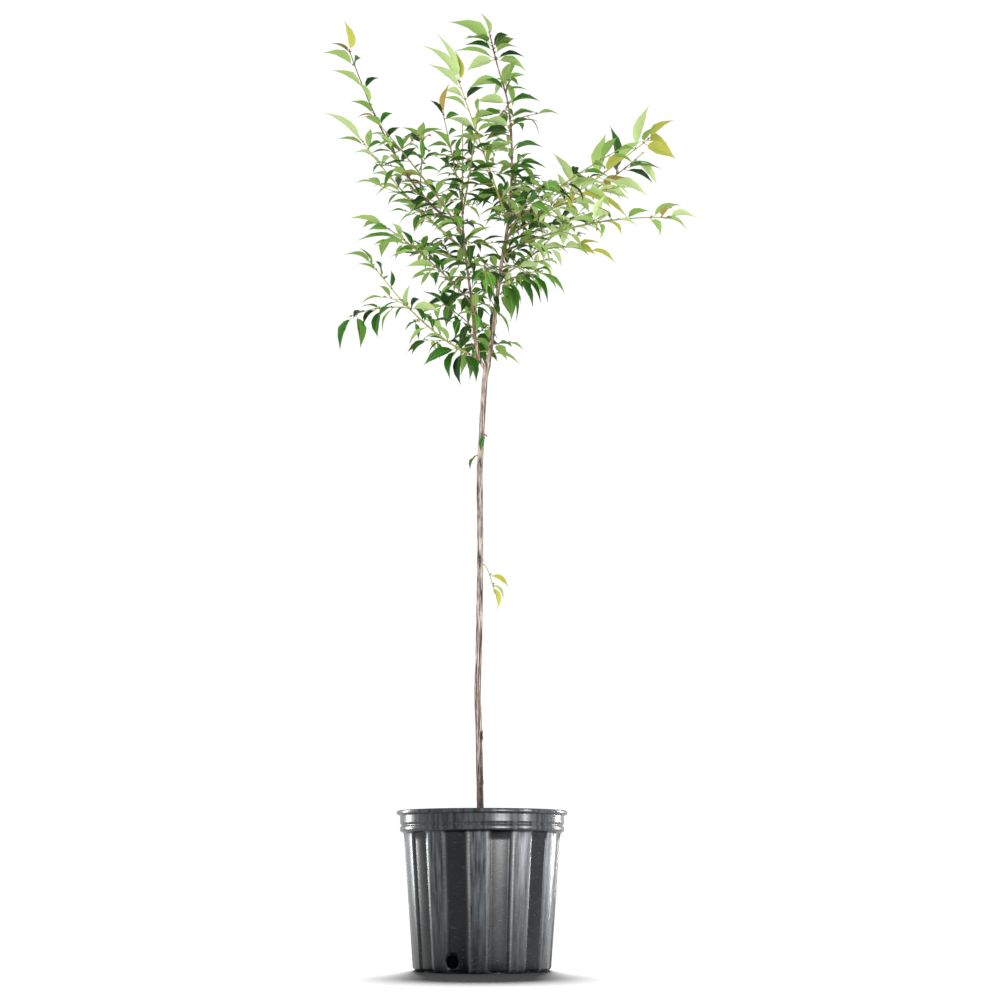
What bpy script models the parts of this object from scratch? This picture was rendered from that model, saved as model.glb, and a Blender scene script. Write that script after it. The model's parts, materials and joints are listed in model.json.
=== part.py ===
"""Young cherry tree in a fluted nursery pot.

One straight stem rises from the potting soil, forks at a little over a metre into two
leaders, and carries slender boughs and sprays of pointed leaves on both. Metres, +Z up,
the origin at the middle of the pot's underside, the view side towards -Y.
"""
import math
from collections import namedtuple

import bmesh
import bpy
import numpy as np
from mathutils import Vector

# Gap that pieces keep where they touch, and the distance within which points are welded
GAP = 0.0003
WELD = 0.00001

# Pot
POT_HEIGHT = 0.272
RIM_RADIUS = 0.150
LIP_FOOT = 0.2635
LIP_HEIGHT = 0.002
LIP_EDGE = 0.0025
BAND_RADIUS = 0.144
GROOVE_RADIUS = 0.1412
GROOVE_HEIGHT = 0.2465
GROOVE_HALF = 0.0035
BAND_FOOT = 0.237
BODY_TOP_RADIUS = 0.138
BODY_TOP = 0.233
BASE_RADIUS = 0.120
BASE_CORNER = 0.005
RIM_WALL_RADIUS = 0.1385
RIM_FLOOR = 0.239
RIM_FLOOR_FALL = 0.004
INNER_TOP_RADIUS = 0.1325
INNER_BASE_RADIUS = 0.1145
FLOOR_THICKNESS = 0.003
FLUTES = 11
FLUTE_DEPTH = 0.0032
RIB_AZIMUTH = math.radians(-92.4)
RIB_HALF = 0.205
FLUTE_SIDE = 0.090
FLUTE_PHASES = (0.0, RIB_HALF, RIB_HALF + FLUTE_SIDE, 0.5, 1 - RIB_HALF - FLUTE_SIDE, 1 - RIB_HALF)
DRAIN_HOLES = 3
DRAIN_HOLE_RADIUS = 0.0112
DRAIN_HOLE_HEIGHT = 0.019
DRAIN_HOLE_AZIMUTH = math.radians(-114)
DRAIN_CUT_LENGTH = 0.020

# Potting soil
SOIL_EDGE = 0.246
SOIL_CROWN = 0.249
SOIL_FLAT_RADIUS = 0.016
SOIL_SIDE_GAP = 0.0006
SOIL_STEPS = 44

# Middle lines of the trunk and the two leaders: a few stations (x, y, z) each
STATION_STEPS = 6
TRUNK_STATIONS = (
    (-0.0022, 0.0, 0.240),
    (-0.0057, 0.0, 0.391),
    (-0.0084, 0.0, 0.484),
    (-0.0061, 0.0, 0.574),
    (-0.0043, 0.0, 0.734),
    (-0.0056, 0.0, 0.877),
    (-0.0019, 0.0, 0.960),
    (0.0031, 0.0, 1.053),
    (0.0090, 0.001, 1.087),
)
EAST_STATIONS = (
    (0.0166, 0.003, 1.135),
    (0.0259, 0.008, 1.218),
    (0.0353, 0.014, 1.295),
    (0.0467, 0.020, 1.373),
    (0.0545, 0.028, 1.491),
    (0.0479, 0.034, 1.613),
    (0.0257, 0.038, 1.704),
    (0.0110, 0.042, 1.771),
)
WEST_STATIONS = (
    (0.0064, 0.000, 1.073),
    (-0.0066, -0.004, 1.099),
    (-0.0158, -0.008, 1.147),
    (-0.0215, -0.012, 1.208),
    (-0.0328, -0.020, 1.293),
    (-0.0386, -0.026, 1.369),
    (-0.0389, -0.032, 1.476),
    (-0.0392, -0.036, 1.547),
)
FORK_HEIGHT = 1.087
EAST_LEADER_TOP = 1.432
WEST_LEADER_TOP = 1.402

# Thickness of the limbs
TRUNK_RADIUS = 0.0060
TRUNK_TOP_RADIUS = 0.0052
FLARE = 0.0030
FLARE_HEIGHT = 0.030
EAST_RADIUS = 0.0044
WEST_RADIUS = 0.0034
LEADER_TIP_RADIUS = 0.0010
TWIG_TIP_RADIUS = 0.0008
TWIG_RADIUS_PER_METRE = 0.0045
TRUNK_SIDES = 10
LEADER_SIDES = 7
BOUGH_SIDES = 5
TWIG_SIDES = 3

# Rings of the limbs: the trunk has more of them in the flare at its foot
TRUNK_FOOT_RINGS = (0.0, 0.009, 0.016, 0.025, 0.040)
TRUNK_STEPS = 22
LEADER_STEPS = 12
BOUGH_STEPS = 3
STEM_STEPS = 8
SIDE_STEPS = 4

# Points of the lines that shoots and forks grow along
SHOOT_STEPS = 24
FORK_STEPS = 12

# Bare share from which a shoot's foot is a bough of its own
BOUGH_FROM = 0.10

# Leaves along a twig: how they crowd towards its tip, and their spiral round it, in degrees
LEAF_CROWDING = 0.92
PLACE_CHANCE = 0.3
GOLDEN_TURN = 137.5
SPIRAL_CHANCE = 18
RETRY_TURN = 35
LEVELNESS = 0.6
LEAF_INSET = 0.002

# Angle between leaf and twig at the twig's foot, its fall towards the tip, and its chance, in degrees
SPREAD = 60
SPREAD_FALL = 22
SPREAD_CHANCE = 14
TIP_SPREAD = (2, 14)

# How leaves hang and face
DROOP_CHANCE = (0.6, 1.4)
DROOP_EASE = 0.4
FACE_ONWARD = 0.35
FACE_MIN = 0.2
FACE_ROLL = 18
LIFT_KEPT = 0.55

# Size and shape of a leaf: chance in its length, and shares of the blade's length
LENGTH_CHANCE = (0.78, 1.18)
NEAR_TIP = 0.8
NEAR_TIP_LENGTH = 0.85
WIDTH_SHARE = (0.36, 0.46)
ARCH_SHARE = (0.10, 0.32)
FOLD_DEGREES = (12, 36)
STALK_SHARE = 0.14
LEAF_KEEL = 0.0012
LEAF_ROOT = 0.0004
WIDEST_AT = 0.42
LEAF_FACES = ((0, 2, 5), (0, 5, 3), (1, 4, 2), (4, 5, 2), (4, 3, 5), (1, 3, 4), (0, 1, 2), (0, 3, 1))

# The front view that the outer leaves are laid out in: eye point, pitch, focal length and middle
EYE = np.array([0.0315, -3.2, 0.157])
VIEW_PITCH = math.radians(11.885)
VIEW_FOCAL = 1795.0
VIEW_MIDDLE = 500.0
VIEW_SAMPLES = 120
LEAST_CHORD = 1.02
LAYOUT_WIDTH = (0.40, 0.50)
LAYOUT_INSET = 0.005
LAYOUT_KEY = 99
INNER_SHARE = 0.66
LAYOUT_TRIES = ((1.0, 0.0, 0), (1.0, 0.0, 1), (1.3, 0.0, 0), (1.3, 0.0, 1), (1.1, 18.0, 0), (1.1, -18.0, 1))

# Clearance a leaf keeps from limbs, from leaves of other masses and from its neighbours
LEAF_TRIES = 6
LEAF_TO_LEAF = 0.0065
LEAF_TO_LIMB = 0.004
OWN_LEAF_TO_LEAF = 0.0035

UP = np.array([0.0, 0.0, 1.0])
FRONT = np.array([0.0, -1.0, 0.0])
STEEP = 0.15
Leaf = namedtuple("Leaf", "root axis face length width arch fold")
Shoot = namedtuple("Shoot", "name parent height azimuth reach rise bow swing bare leaves "
                            "foot_leaf tip_leaf droop seed")
Fork = namedtuple("Fork", "shoot along azimuth reach rise bow leaves leaf_share droop bare")

TRUNK, EAST, WEST = "trunk", "east", "west"

# Shoots: parent limb and height on it, azimuth in degrees, reach, rise, bow and swing, bare share,
# number of leaves, blade length at the foot and at the tip, droop, and seed. Reach 0: the limb's own tip
SHOOTS = tuple(Shoot(*row) for row in (
    ("northwest", WEST, 1.347, -165, 0.220, 0.325, -0.060, -0.010, 0.12, 7, 0.042, 0.046, 0.10, 48),
    ("west_inner", WEST, 1.392, -130, 0.055, 0.160, 0.000, 0.000, 0.08, 6, 0.039, 0.042, 0.20, 852),
    ("west_high", WEST, 1.302, 150, 0.245, 0.280, -0.015, 0.005, 0.14, 9, 0.042, 0.058, 0.10, 838),
    ("west_middle", WEST, 1.202, -150, 0.190, 0.120, 0.010, 0.000, 0.14, 8, 0.043, 0.048, 0.10, 698),
    ("west_low", WEST, 1.097, 170, 0.210, 0.200, -0.025, -0.010, 0.10, 4, 0.048, 0.046, 0.50, 694),
    ("west_short", WEST, 1.152, 170, 0.050, 0.045, 0.005, -0.010, 0.08, 3, 0.040, 0.040, 0.90, 343),
    ("middle", EAST, 1.372, -140, 0.120, 0.250, 0.000, 0.000, 0.10, 7, 0.046, 0.066, 0.20, 581),
    ("northeast_front", EAST, 1.342, -15, 0.280, 0.170, -0.005, 0.005, 0.18, 10, 0.048, 0.070, 0.20, 473),
    ("northeast_back", EAST, 1.387, 20, 0.280, 0.165, -0.030, 0.000, 0.18, 9, 0.050, 0.074, 0.20, 221),
    ("east", EAST, 1.312, -25, 0.330, 0.015, 0.020, 0.000, 0.14, 10, 0.046, 0.048, 0.20, 48),
    ("southeast", EAST, 1.262, 35, 0.145, 0.130, -0.010, -0.005, 0.12, 8, 0.046, 0.052, 0.20, 745),
    ("southeast_low", EAST, 1.245, -45, 0.110, 0.000, 0.005, 0.000, 0.08, 6, 0.043, 0.043, 0.70, 938),
    ("front_high", WEST, 1.372, -80, 0.180, 0.125, -0.010, 0.000, 0.12, 11, 0.043, 0.045, 0.20, 726),
    ("front_west", WEST, 1.332, -120, 0.280, 0.110, 0.000, 0.005, 0.12, 12, 0.044, 0.046, 0.15, 464),
    ("front_middle", WEST, 1.257, -95, 0.255, 0.025, 0.020, 0.000, 0.12, 11, 0.043, 0.045, 0.20, 108),
    ("front_east", EAST, 1.357, -35, 0.245, 0.100, 0.010, 0.000, 0.12, 12, 0.048, 0.050, 0.20, 743),
    ("front_right", EAST, 1.322, -75, 0.280, 0.020, 0.020, 0.000, 0.12, 12, 0.044, 0.046, 0.25, 824),
    ("front_low", EAST, 1.207, -95, 0.210, -0.020, 0.045, -0.010, 0.08, 10, 0.043, 0.045, 0.60, 1),
    ("back_high", EAST, 1.417, 85, 0.200, 0.080, 0.020, 0.020, 0.08, 11, 0.045, 0.047, 0.20, 685),
    ("back_west", WEST, 1.277, 125, 0.280, 0.130, 0.005, 0.010, 0.12, 12, 0.045, 0.047, 0.20, 604),
    ("back_left", WEST, 1.222, 105, 0.245, 0.050, 0.010, -0.010, 0.12, 12, 0.043, 0.045, 0.30, 392),
    ("back_right", EAST, 1.277, 75, 0.250, 0.065, 0.015, 0.005, 0.12, 12, 0.045, 0.047, 0.20, 449),
    ("back_east", EAST, 1.332, 50, 0.245, 0.130, 0.000, -0.005, 0.12, 11, 0.047, 0.050, 0.20, 44),
    ("back_low", WEST, 1.132, 90, 0.215, 0.035, 0.020, 0.005, 0.08, 11, 0.046, 0.048, 0.50, 871),
    ("spur_west_high", WEST, 1.352, 175, 0.050, 0.020, 0.005, 0.000, 0.08, 6, 0.040, 0.042, 0.15, 548),
    ("spur_west_middle", WEST, 1.247, 60, 0.065, 0.010, 0.020, 0.010, 0.08, 7, 0.040, 0.043, 0.20, 847),
    ("spur_west_low", WEST, 1.192, 30, 0.050, 0.005, 0.010, 0.000, 0.08, 6, 0.041, 0.043, 0.70, 618),
    ("spur_east_high", EAST, 1.402, 170, 0.050, 0.030, 0.015, 0.000, 0.08, 6, 0.043, 0.045, 0.15, 290),
    ("spur_east_middle", EAST, 1.297, 20, 0.055, 0.045, 0.000, -0.010, 0.08, 7, 0.042, 0.044, 0.20, 523),
    ("spur_east_low", EAST, 1.232, 165, 0.045, 0.020, 0.025, 0.010, 0.08, 6, 0.042, 0.044, 0.65, 950),
    ("east_top", EAST, EAST_LEADER_TOP, 0, 0, 0, 0, 0, 0, 5, 0.049, 0.059, 0.20, 120),
    ("west_top", WEST, WEST_LEADER_TOP, 0, 0, 0, 0, 0, 0, 7, 0.042, 0.044, 0.25, 405),
    ("trunk_sprout", TRUNK, 0.712, -15, 0.026, -0.050, 0.016, 0.000, 0.40, 0, 0.034, 0.028, 0.60, 33),
    ("trunk_leaf_right", TRUNK, 0.953, -55, 0.014, -0.004, 0.002, 0.000, 0.50, 0, 0.030, 0.030, 2.20, 34),
    ("trunk_leaf_left", TRUNK, 0.913, -150, 0.012, -0.003, 0.002, 0.000, 0.50, 0, 0.030, 0.030, 1.30, 35),
))

# Outer leaves, by shoot: foot across and down, tip across and down in the front view, and how far the
# blade is turned from the line of sight, in degrees: its underside shows above 0, its upper side below
SEEN_LEAVES = {
    "northwest": (
        (348, 44, 344, 20, 45),
        (346, 41, 330, 43, 15),
        (348, 53, 323, 47, 14),
        (352, 67, 322, 53, 32),
        (361, 88, 332, 70, 34),
        (374, 104, 356, 80, 34),
        (353, 66, 361, 58, -20),
        (366, 88, 380, 78, -50),
        (376, 113, 350, 101, 16),
        (384, 125, 366, 115, 28),
        (386, 122, 393, 113, -35),
        (392, 137, 400, 127, -50),
        (397, 148, 377, 133, 30),
        (404, 159, 417, 147, -50),
        (408, 168, 391, 161, 12),
        (411, 173, 390, 171, 48),
        (424, 195, 408, 192, 40),
        (428, 200, 412, 203, -45),
        (424, 139, 424, 121, 55),
        (421, 141, 402, 127, 28),
        (421, 143, 402, 138, -35),
        (422, 160, 406, 156, 10),
        (423, 150, 429, 153, 12),
    ),
    "west_inner": (
        (444, 116, 430, 100, -35),
        (444, 102, 449, 83, 30),
        (445, 119, 460, 115, -55),
        (446, 136, 457, 131, -50),
        (452, 149, 430, 129, 30),
        (453, 152, 440, 154, -30),
        (450, 146, 426, 148, 25),
    ),
    "west_high": (
        (361, 144, 322, 112, 32),
        (362, 148, 337, 139, 26),
        (367, 151, 371, 128, 65),
        (370, 159, 353, 153, 20),
        (379, 169, 366, 153, 24),
        (380, 167, 391, 157, 50),
        (389, 183, 371, 174, 24),
        (397, 188, 403, 179, -45),
        (408, 200, 387, 193, 10),
        (417, 208, 400, 203, 28),
        (418, 208, 410, 200, -55),
        (433, 220, 450, 214, -25),
        (440, 228, 462, 222, 15),
    ),
    "west_middle": (
        (384, 230, 349, 218, 22),
        (387, 233, 368, 230, -45),
        (378, 232, 362, 228, 10),
        (399, 246, 356, 241, -14),
        (403, 249, 376, 247, 22),
        (410, 250, 401, 230, -50),
        (417, 252, 441, 253, -40),
        (420, 258, 411, 240, -18),
        (404, 243, 389, 235, 30),
        (398, 240, 391, 223, 35),
        (436, 274, 430, 259, -25),
        (445, 271, 433, 256, -28),
        (437, 273, 436, 287, -35),
        (442, 266, 461, 259, -30),
    ),
    "west_low": (
        (373, 263, 342, 255, 10),
        (374, 265, 358, 247, 12),
        (380, 268, 357, 264, 10),
        (386, 272, 375, 261, -10),
        (396, 284, 391, 270, -45),
        (388, 277, 383, 279, -30),
        (409, 305, 410, 284, 32),
        (412, 307, 440, 312, 50),
        (413, 309, 420, 299, -30),
        (424, 321, 415, 308, -40),
        (432, 330, 423, 312, -20),
        (439, 340, 424, 319, 34),
        (446, 348, 433, 325, 30),
        (442, 350, 428, 337, -12),
        (452, 356, 423, 366, -45),
        (452, 357, 450, 380, -30),
        (458, 358, 461, 386, -42),
        (467, 362, 469, 381, -38),
        (474, 366, 476, 383, -40),
        (461, 352, 449, 341, -14),
        (352, 318, 340, 351, -42),
        (358, 318, 360, 349, -62),
        (365, 316, 353, 319, -35),
        (380, 310, 361, 307, 8),
        (392, 308, 379, 317, -38),
        (381, 314, 378, 338, -42),
        (378, 315, 363, 326, -35),
    ),
    "west_short": (
        (452, 298, 438, 289, -55),
        (440, 298, 422, 291, -14),
        (447, 300, 456, 310, -35),
        (444, 303, 449, 322, -45),
        (450, 316, 454, 340, -30),
        (459, 322, 455, 336, -50),
    ),
    "middle": (
        (459, 77, 421, 45, 34),
        (459, 74, 436, 32, 18),
        (459, 79, 455, 50, 30),
        (463, 89, 428, 64, 34),
        (466, 99, 443, 91, 34),
        (470, 110, 440, 98, 26),
        (478, 132, 447, 118, 34),
        (472, 119, 495, 114, 40),
        (473, 97, 484, 87, -45),
        (481, 148, 451, 137, 28),
        (483, 153, 467, 147, -14),
        (479, 134, 464, 131, -28),
        (483, 149, 494, 159, 25),
        (491, 167, 468, 162, 26),
        (489, 165, 493, 150, 20),
    ),
    "northeast_front": (
        (594, 172, 606, 133, 62),
        (613, 160, 642, 141, 48),
        (632, 145, 650, 104, 50),
        (641, 140, 656, 126, 25),
        (648, 140, 675, 120, 34),
        (647, 141, 668, 146, 26),
        (643, 143, 676, 159, 62),
        (572, 187, 552, 152, 30),
        (582, 187, 611, 209, 46),
        (567, 193, 528, 192, 34),
        (578, 196, 571, 211, 40),
    ),
    "northeast_back": (
        (608, 160, 610, 125, -34),
        (632, 156, 657, 186, 40),
        (620, 163, 662, 169, -12),
        (603, 171, 648, 196, 44),
        (622, 166, 653, 183, -26),
        (591, 182, 630, 200, 46),
        (582, 180, 570, 168, -26),
        (560, 188, 551, 184, -30),
        (612, 165, 621, 161, -30),
    ),
    "east": (
        (668, 216, 698, 218, 20),
        (660, 220, 688, 231, 22),
        (651, 220, 682, 205, 34),
        (662, 217, 673, 208, 20),
        (650, 222, 660, 237, 40),
        (626, 222, 650, 211, 34),
        (618, 224, 639, 228, 14),
        (599, 219, 600, 240, 25),
        (592, 219, 596, 232, 14),
        (611, 221, 597, 207, 14),
        (598, 219, 566, 222, 24),
        (584, 216, 598, 212, 30),
    ),
    "southeast": (
        (574, 240, 596, 255, 40),
        (576, 238, 601, 243, 20),
        (566, 240, 590, 257, 28),
        (562, 240, 572, 227, 40),
        (545, 248, 569, 254, 22),
        (536, 252, 553, 255, 12),
    ),
    "southeast_low": (
        (542, 268, 565, 294, -26),
        (534, 262, 551, 272, -14),
        (538, 274, 557, 290, 26),
        (530, 278, 548, 304, -30),
        (524, 280, 541, 304, -30),
        (517, 280, 533, 309, -48),
        (511, 290, 517, 313, -50),
        (512, 272, 523, 291, -34),
        (503, 285, 516, 323, -26),
        (500, 296, 510, 323, -50),
        (520, 268, 534, 280, -35),
    ),
    "east_top": (
        (491, 36, 480, 12, 18),
        (490, 47, 448, 22, 42),
        (487, 52, 464, 45, -26),
        (488, 44, 464, 39, 10),
        (493, 49, 515, 39, 46),
        (494, 47, 509, 35, -45),
        (494, 53, 519, 48, 18),
        (496, 58, 525, 57, -24),
        (495, 60, 527, 72, 38),
        (506, 83, 518, 60, 56),
        (495, 60, 466, 72, 50),
        (494, 58, 454, 51, 26),
        (503, 82, 468, 89, 46),
        (504, 91, 484, 80, -35),
        (508, 103, 474, 102, 46),
        (508, 103, 540, 101, -22),
        (510, 117, 533, 113, -26),
        (511, 124, 532, 120, 28),
        (510, 127, 481, 122, 44),
        (509, 130, 483, 134, -40),
        (510, 132, 485, 141, 42),
        (512, 151, 543, 147, -22),
        (511, 153, 488, 149, 36),
        (513, 168, 537, 170, -18),
        (512, 168, 494, 165, 34),
    ),
    "west_top": (
        (463, 165, 480, 170, -28),
        (463, 168, 440, 168, -22),
        (462, 160, 456, 162, -40),
        (463, 178, 490, 181, -34),
        (463, 178, 448, 190, -45),
    ),
    "trunk_sprout": (
        (491, 568, 509, 588, -35),
        (491, 586, 497, 611, 40),
        (491, 584, 504, 600, 20),
    ),
    "trunk_leaf_right": ((484, 436, 481, 453, -55),),
    "trunk_leaf_left": ((479, 457, 470, 470, -35),),
}

# Side twigs that fork off a shoot, at a share along it
FORKS = tuple(Fork(*row) for row in (
    ("northwest", 0.26, 80, 0.020, 0.110, 0.000, 2, 0.85, 0.25, 0.25),
    ("west_low", 0.60, 182, 0.108, -0.016, 0.008, 1, 1.05, 1.30, 0.25),
    ("southeast", 0.55, 10, 0.100, 0.010, 0.006, 4, 1.00, 0.30, 0.25),
))


def unit(v):
    """The vector, or each row, at length one."""
    return v / np.maximum(np.linalg.norm(v, axis=-1, keepdims=True), 1e-12)


def turned(v, axis, angle):
    """The vector turned about a unit axis (Rodrigues' formula)."""
    return (v * math.cos(angle) + np.cross(axis, v) * math.sin(angle)
            + axis * np.dot(axis, v) * (1 - math.cos(angle)))


def smooth_line(stations):
    """Catmull-Rom curve through the stations, STATION_STEPS points to each stretch."""
    s = np.asarray(stations, float)
    s = np.vstack([2 * s[0] - s[1], s, 2 * s[-1] - s[-2]])
    t = np.linspace(0, 1, STATION_STEPS, endpoint=False)[:, None]
    rows = []
    for a, b, c, d in zip(s, s[1:], s[2:], s[3:]):
        rows.append(0.5 * (2 * b + (c - a) * t + (2 * a - 5 * b + 4 * c - d) * t ** 2
                           + (3 * b - a - 3 * c + d) * t ** 3))
    return np.vstack(rows + [s[-2][None]])


def at_height(line, z):
    """The point of a rising line at one height."""
    return np.array([np.interp(z, line[:, 2], line[:, k]) for k in range(3)])


def between_heights(line, low, high):
    """The stretch of a rising line between two heights."""
    inner = line[(line[:, 2] > low + 0.001) & (line[:, 2] < high - 0.001)]
    return np.vstack([at_height(line, low)[None], inner, at_height(line, high)[None]])


def lengths_along(line):
    """Distance of each point of a line from its start."""
    steps = np.linalg.norm(np.diff(line, axis=0), axis=1)
    return np.concatenate([[0.0], np.cumsum(steps)])


def point_along(line, along, distance):
    """The point at a distance along a line."""
    return np.array([np.interp(distance, along, line[:, k]) for k in range(3)])


def points_at(line, distances):
    """The points of a line at distances from its start."""
    along = lengths_along(line)
    return np.array([point_along(line, along, distance) for distance in distances])


def stretch(line, start, end, steps):
    """A line resampled evenly between two distances."""
    return points_at(line, np.linspace(start, end, steps + 1))


def arched_line(start, azimuth, reach, rise, bow, swing, steps):
    """A line that runs out by reach and up by rise, bowed up by bow and sideways by swing."""
    t = np.linspace(0, 1, steps + 1)[:, None]
    turn = math.radians(azimuth)
    out = np.array([math.cos(turn), math.sin(turn), 0.0])
    side = np.array([-math.sin(turn), math.cos(turn), 0.0])
    hump = 4 * t * (1 - t)
    return start + reach * t * out + (rise * t + bow * hump) * UP + swing * hump * side


def side_frame(along):
    """Two unit vectors square to a direction: one as near to upright as it gets, one level."""
    upright = UP - np.dot(UP, along) * along
    if np.linalg.norm(upright) < STEEP:
        upright = FRONT - np.dot(FRONT, along) * along
    upright = unit(upright)
    return upright, np.cross(along, upright)


def leaf_half_width(share):
    """Half the outline's width at a share of the blade: round at the foot, drawn out to the tip."""
    share = np.clip(share, 0, 1)
    return 0.5 * np.sin(math.pi * share ** 0.62) ** (0.8 + 0.9 * share)


def leaf_midrib(leaf, t):
    """The midrib, an arc that leaves the twig along the leaf's axis and bends to its underside."""
    t = np.asarray(t, float)[..., None]
    return leaf.root + leaf.length * (leaf.axis * t - leaf.face * leaf.arch * t * t)


def leaf_margins(leaf, t):
    """Points of both margins, raised to the sides by the leaf's fold."""
    across = unit(np.cross(leaf.face, leaf.axis))
    half = leaf.width * leaf_half_width((np.asarray(t) - STALK_SHARE) / (1 - STALK_SHARE))
    lift = leaf.face * math.sin(leaf.fold)
    spread = across * math.cos(leaf.fold)
    middle = leaf_midrib(leaf, t)
    return middle + (lift + spread) * half[:, None], middle + (lift - spread) * half[:, None]


def leaf_points(leaf):
    """Points spread over a leaf, for the clearance rule."""
    rib = np.linspace(STALK_SHARE, 1.0, 8)
    left, right = leaf_margins(leaf, rib[1:7])
    return np.vstack([leaf_midrib(leaf, rib), left, right])


def drawn_leaf(line, along, shoot, number, attempt, key=0):
    """One leaf of a twig: a golden-angle spiral with a little seeded chance."""
    chance = np.random.default_rng((shoot.seed, key, number, attempt))
    share = number / max(shoot.leaves - 1, 1)
    end = INNER_SHARE if shoot.name in SEEN_LEAVES and key == 0 else 1.0
    last = number == shoot.leaves - 1 and end == 1.0
    place = shoot.bare + (end - shoot.bare) * share ** LEAF_CROWDING
    shift = 0.0 if last else chance.uniform(-PLACE_CHANCE, PLACE_CHANCE) * (1 - shoot.bare) / shoot.leaves
    distance = max((place + shift) * along[-1], shoot.bare * along[-1] + LEAF_INSET)
    distance = min(distance, along[-1] - LEAF_INSET)
    root = point_along(line, along, distance)
    ahead = point_along(line, along, distance + LEAF_INSET)
    onward = unit(ahead - point_along(line, along, distance - LEAF_INSET))
    upright, level = side_frame(onward)
    turn = GOLDEN_TURN * (number + shoot.seed) + chance.uniform(-SPIRAL_CHANCE, SPIRAL_CHANCE)
    spiral = math.radians(turn + RETRY_TURN * attempt)
    outward = unit(math.cos(spiral) * level + LEVELNESS * math.sin(spiral) * upright)
    if last:
        spread = math.radians(chance.uniform(*TIP_SPREAD))
    else:
        spread = math.radians(SPREAD - SPREAD_FALL * share + chance.uniform(-SPREAD_CHANCE, SPREAD_CHANCE))
    axis = math.cos(spread) * onward + math.sin(spread) * outward
    axis = axis * (1.0, 1.0, LIFT_KEPT if axis[2] > 0 else 1.0)
    axis = unit(axis - shoot.droop * chance.uniform(*DROOP_CHANCE) * (1 - DROOP_EASE * share) * UP)
    face = UP + FACE_ONWARD * onward
    face = face - np.dot(face, axis) * axis
    if np.linalg.norm(face) < FACE_MIN:
        face = outward - np.dot(outward, axis) * axis
    face = turned(unit(face), axis, math.radians(chance.normal(0, FACE_ROLL)))
    blade = (shoot.foot_leaf + (shoot.tip_leaf - shoot.foot_leaf) * share) * chance.uniform(*LENGTH_CHANCE)
    if share > NEAR_TIP and not last:
        blade *= NEAR_TIP_LENGTH
    return Leaf(root, axis, face, blade / (1 - STALK_SHARE), blade * chance.uniform(*WIDTH_SHARE),
                chance.uniform(*ARCH_SHARE), math.radians(chance.uniform(*FOLD_DEGREES)))


def sight(across, down):
    """Direction from the eye to a place in the front view."""
    right, below = (across - VIEW_MIDDLE) / VIEW_FOCAL, (down - VIEW_MIDDLE) / VIEW_FOCAL
    return np.array([right, math.cos(VIEW_PITCH) + below * math.sin(VIEW_PITCH),
                     math.sin(VIEW_PITCH) - below * math.cos(VIEW_PITCH)])


def in_view(points):
    """Places of points in the front view, across and down."""
    away = points - EYE
    onward = away @ np.array([0.0, math.cos(VIEW_PITCH), math.sin(VIEW_PITCH)])
    upward = away @ np.array([0.0, -math.sin(VIEW_PITCH), math.cos(VIEW_PITCH)])
    return VIEW_MIDDLE + VIEW_FOCAL * np.stack([away[:, 0], -upward], -1) / onward[:, None]


def foot_on_twigs(twigs, across, down):
    """The point of the twigs that is nearest to a place in the front view, and its share along its twig."""
    found = []
    for line, grows in twigs:
        along = lengths_along(line)
        low = grows.bare + LAYOUT_INSET / along[-1]
        shares = np.linspace(low, 1 - LEAF_INSET / along[-1], VIEW_SAMPLES)
        points = points_at(line, shares * along[-1])
        away = np.linalg.norm(in_view(points) - (across, down), axis=1)
        found.append((away.min(), tuple(points[away.argmin()]), shares[away.argmin()]))
    _, root, share = min(found)
    return np.array(root), share


def seen_leaf(twigs, shoot, number, attempt):
    """One leaf of the layout: its foot on a twig, its tip in the line of sight, its blade turned to the eye.

    The tip lies as far along its line of sight as the leaf is long, in front of the foot or behind it.
    """
    across, down, tip_across, tip_down, turn = SEEN_LEAVES[shoot.name][number]
    stretching, tilting, behind = LAYOUT_TRIES[attempt]
    chance = np.random.default_rng((shoot.seed, LAYOUT_KEY, number))
    root, share = foot_on_twigs(twigs, across, down)
    way = sight(tip_across, tip_down)
    from_eye = root - EYE
    nearest_step = np.dot(way, from_eye) / np.dot(way, way)
    least = np.linalg.norm(EYE + nearest_step * way - root)
    wanted = (shoot.foot_leaf + (shoot.tip_leaf - shoot.foot_leaf) * share) * stretching
    chord = max(LEAST_CHORD * least, wanted)
    deeper = math.sqrt(chord ** 2 - least ** 2) / np.linalg.norm(way)
    tip = EYE + (nearest_step + (deeper if behind else -deeper)) * way
    onward = unit(tip - root)
    look = unit(from_eye)
    away = unit(look - np.dot(look, onward) * onward)
    level = np.cross(onward, away)
    level = level if level[2] > 0 else -level
    angle = math.radians(turn + tilting)
    face = math.cos(angle) * level + math.sin(angle) * away
    arch = chance.uniform(*ARCH_SHARE)
    bend = math.atan(arch)
    axis = math.cos(bend) * onward + math.sin(bend) * face
    face = math.cos(bend) * face - math.sin(bend) * onward
    return Leaf(root, axis, face, chord * math.cos(bend), chord * chance.uniform(*LAYOUT_WIDTH), arch,
                math.radians(chance.uniform(*FOLD_DEGREES)))


def distance_to_limbs(points, starts, ends, radii):
    """Smallest distance from any of the points to any of the limb stretches' surfaces."""
    run = ends - starts
    long2 = np.maximum((run * run).sum(1), 1e-12)
    t = np.clip(((points[:, None] - starts) * run).sum(2) / long2, 0, 1)
    near = starts + t[..., None] * run
    return (np.linalg.norm(points[:, None] - near, axis=2) - radii).min()


def shoot_line(shoot, limbs):
    """Middle line of a shoot, from the middle of its parent limb to its tip."""
    parent = limbs[shoot.parent]
    if shoot.reach == 0:
        return between_heights(parent, shoot.height, parent[-1, 2])
    return arched_line(at_height(parent, shoot.height), shoot.azimuth, shoot.reach, shoot.rise,
                       shoot.bow, shoot.swing, SHOOT_STEPS)


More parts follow.
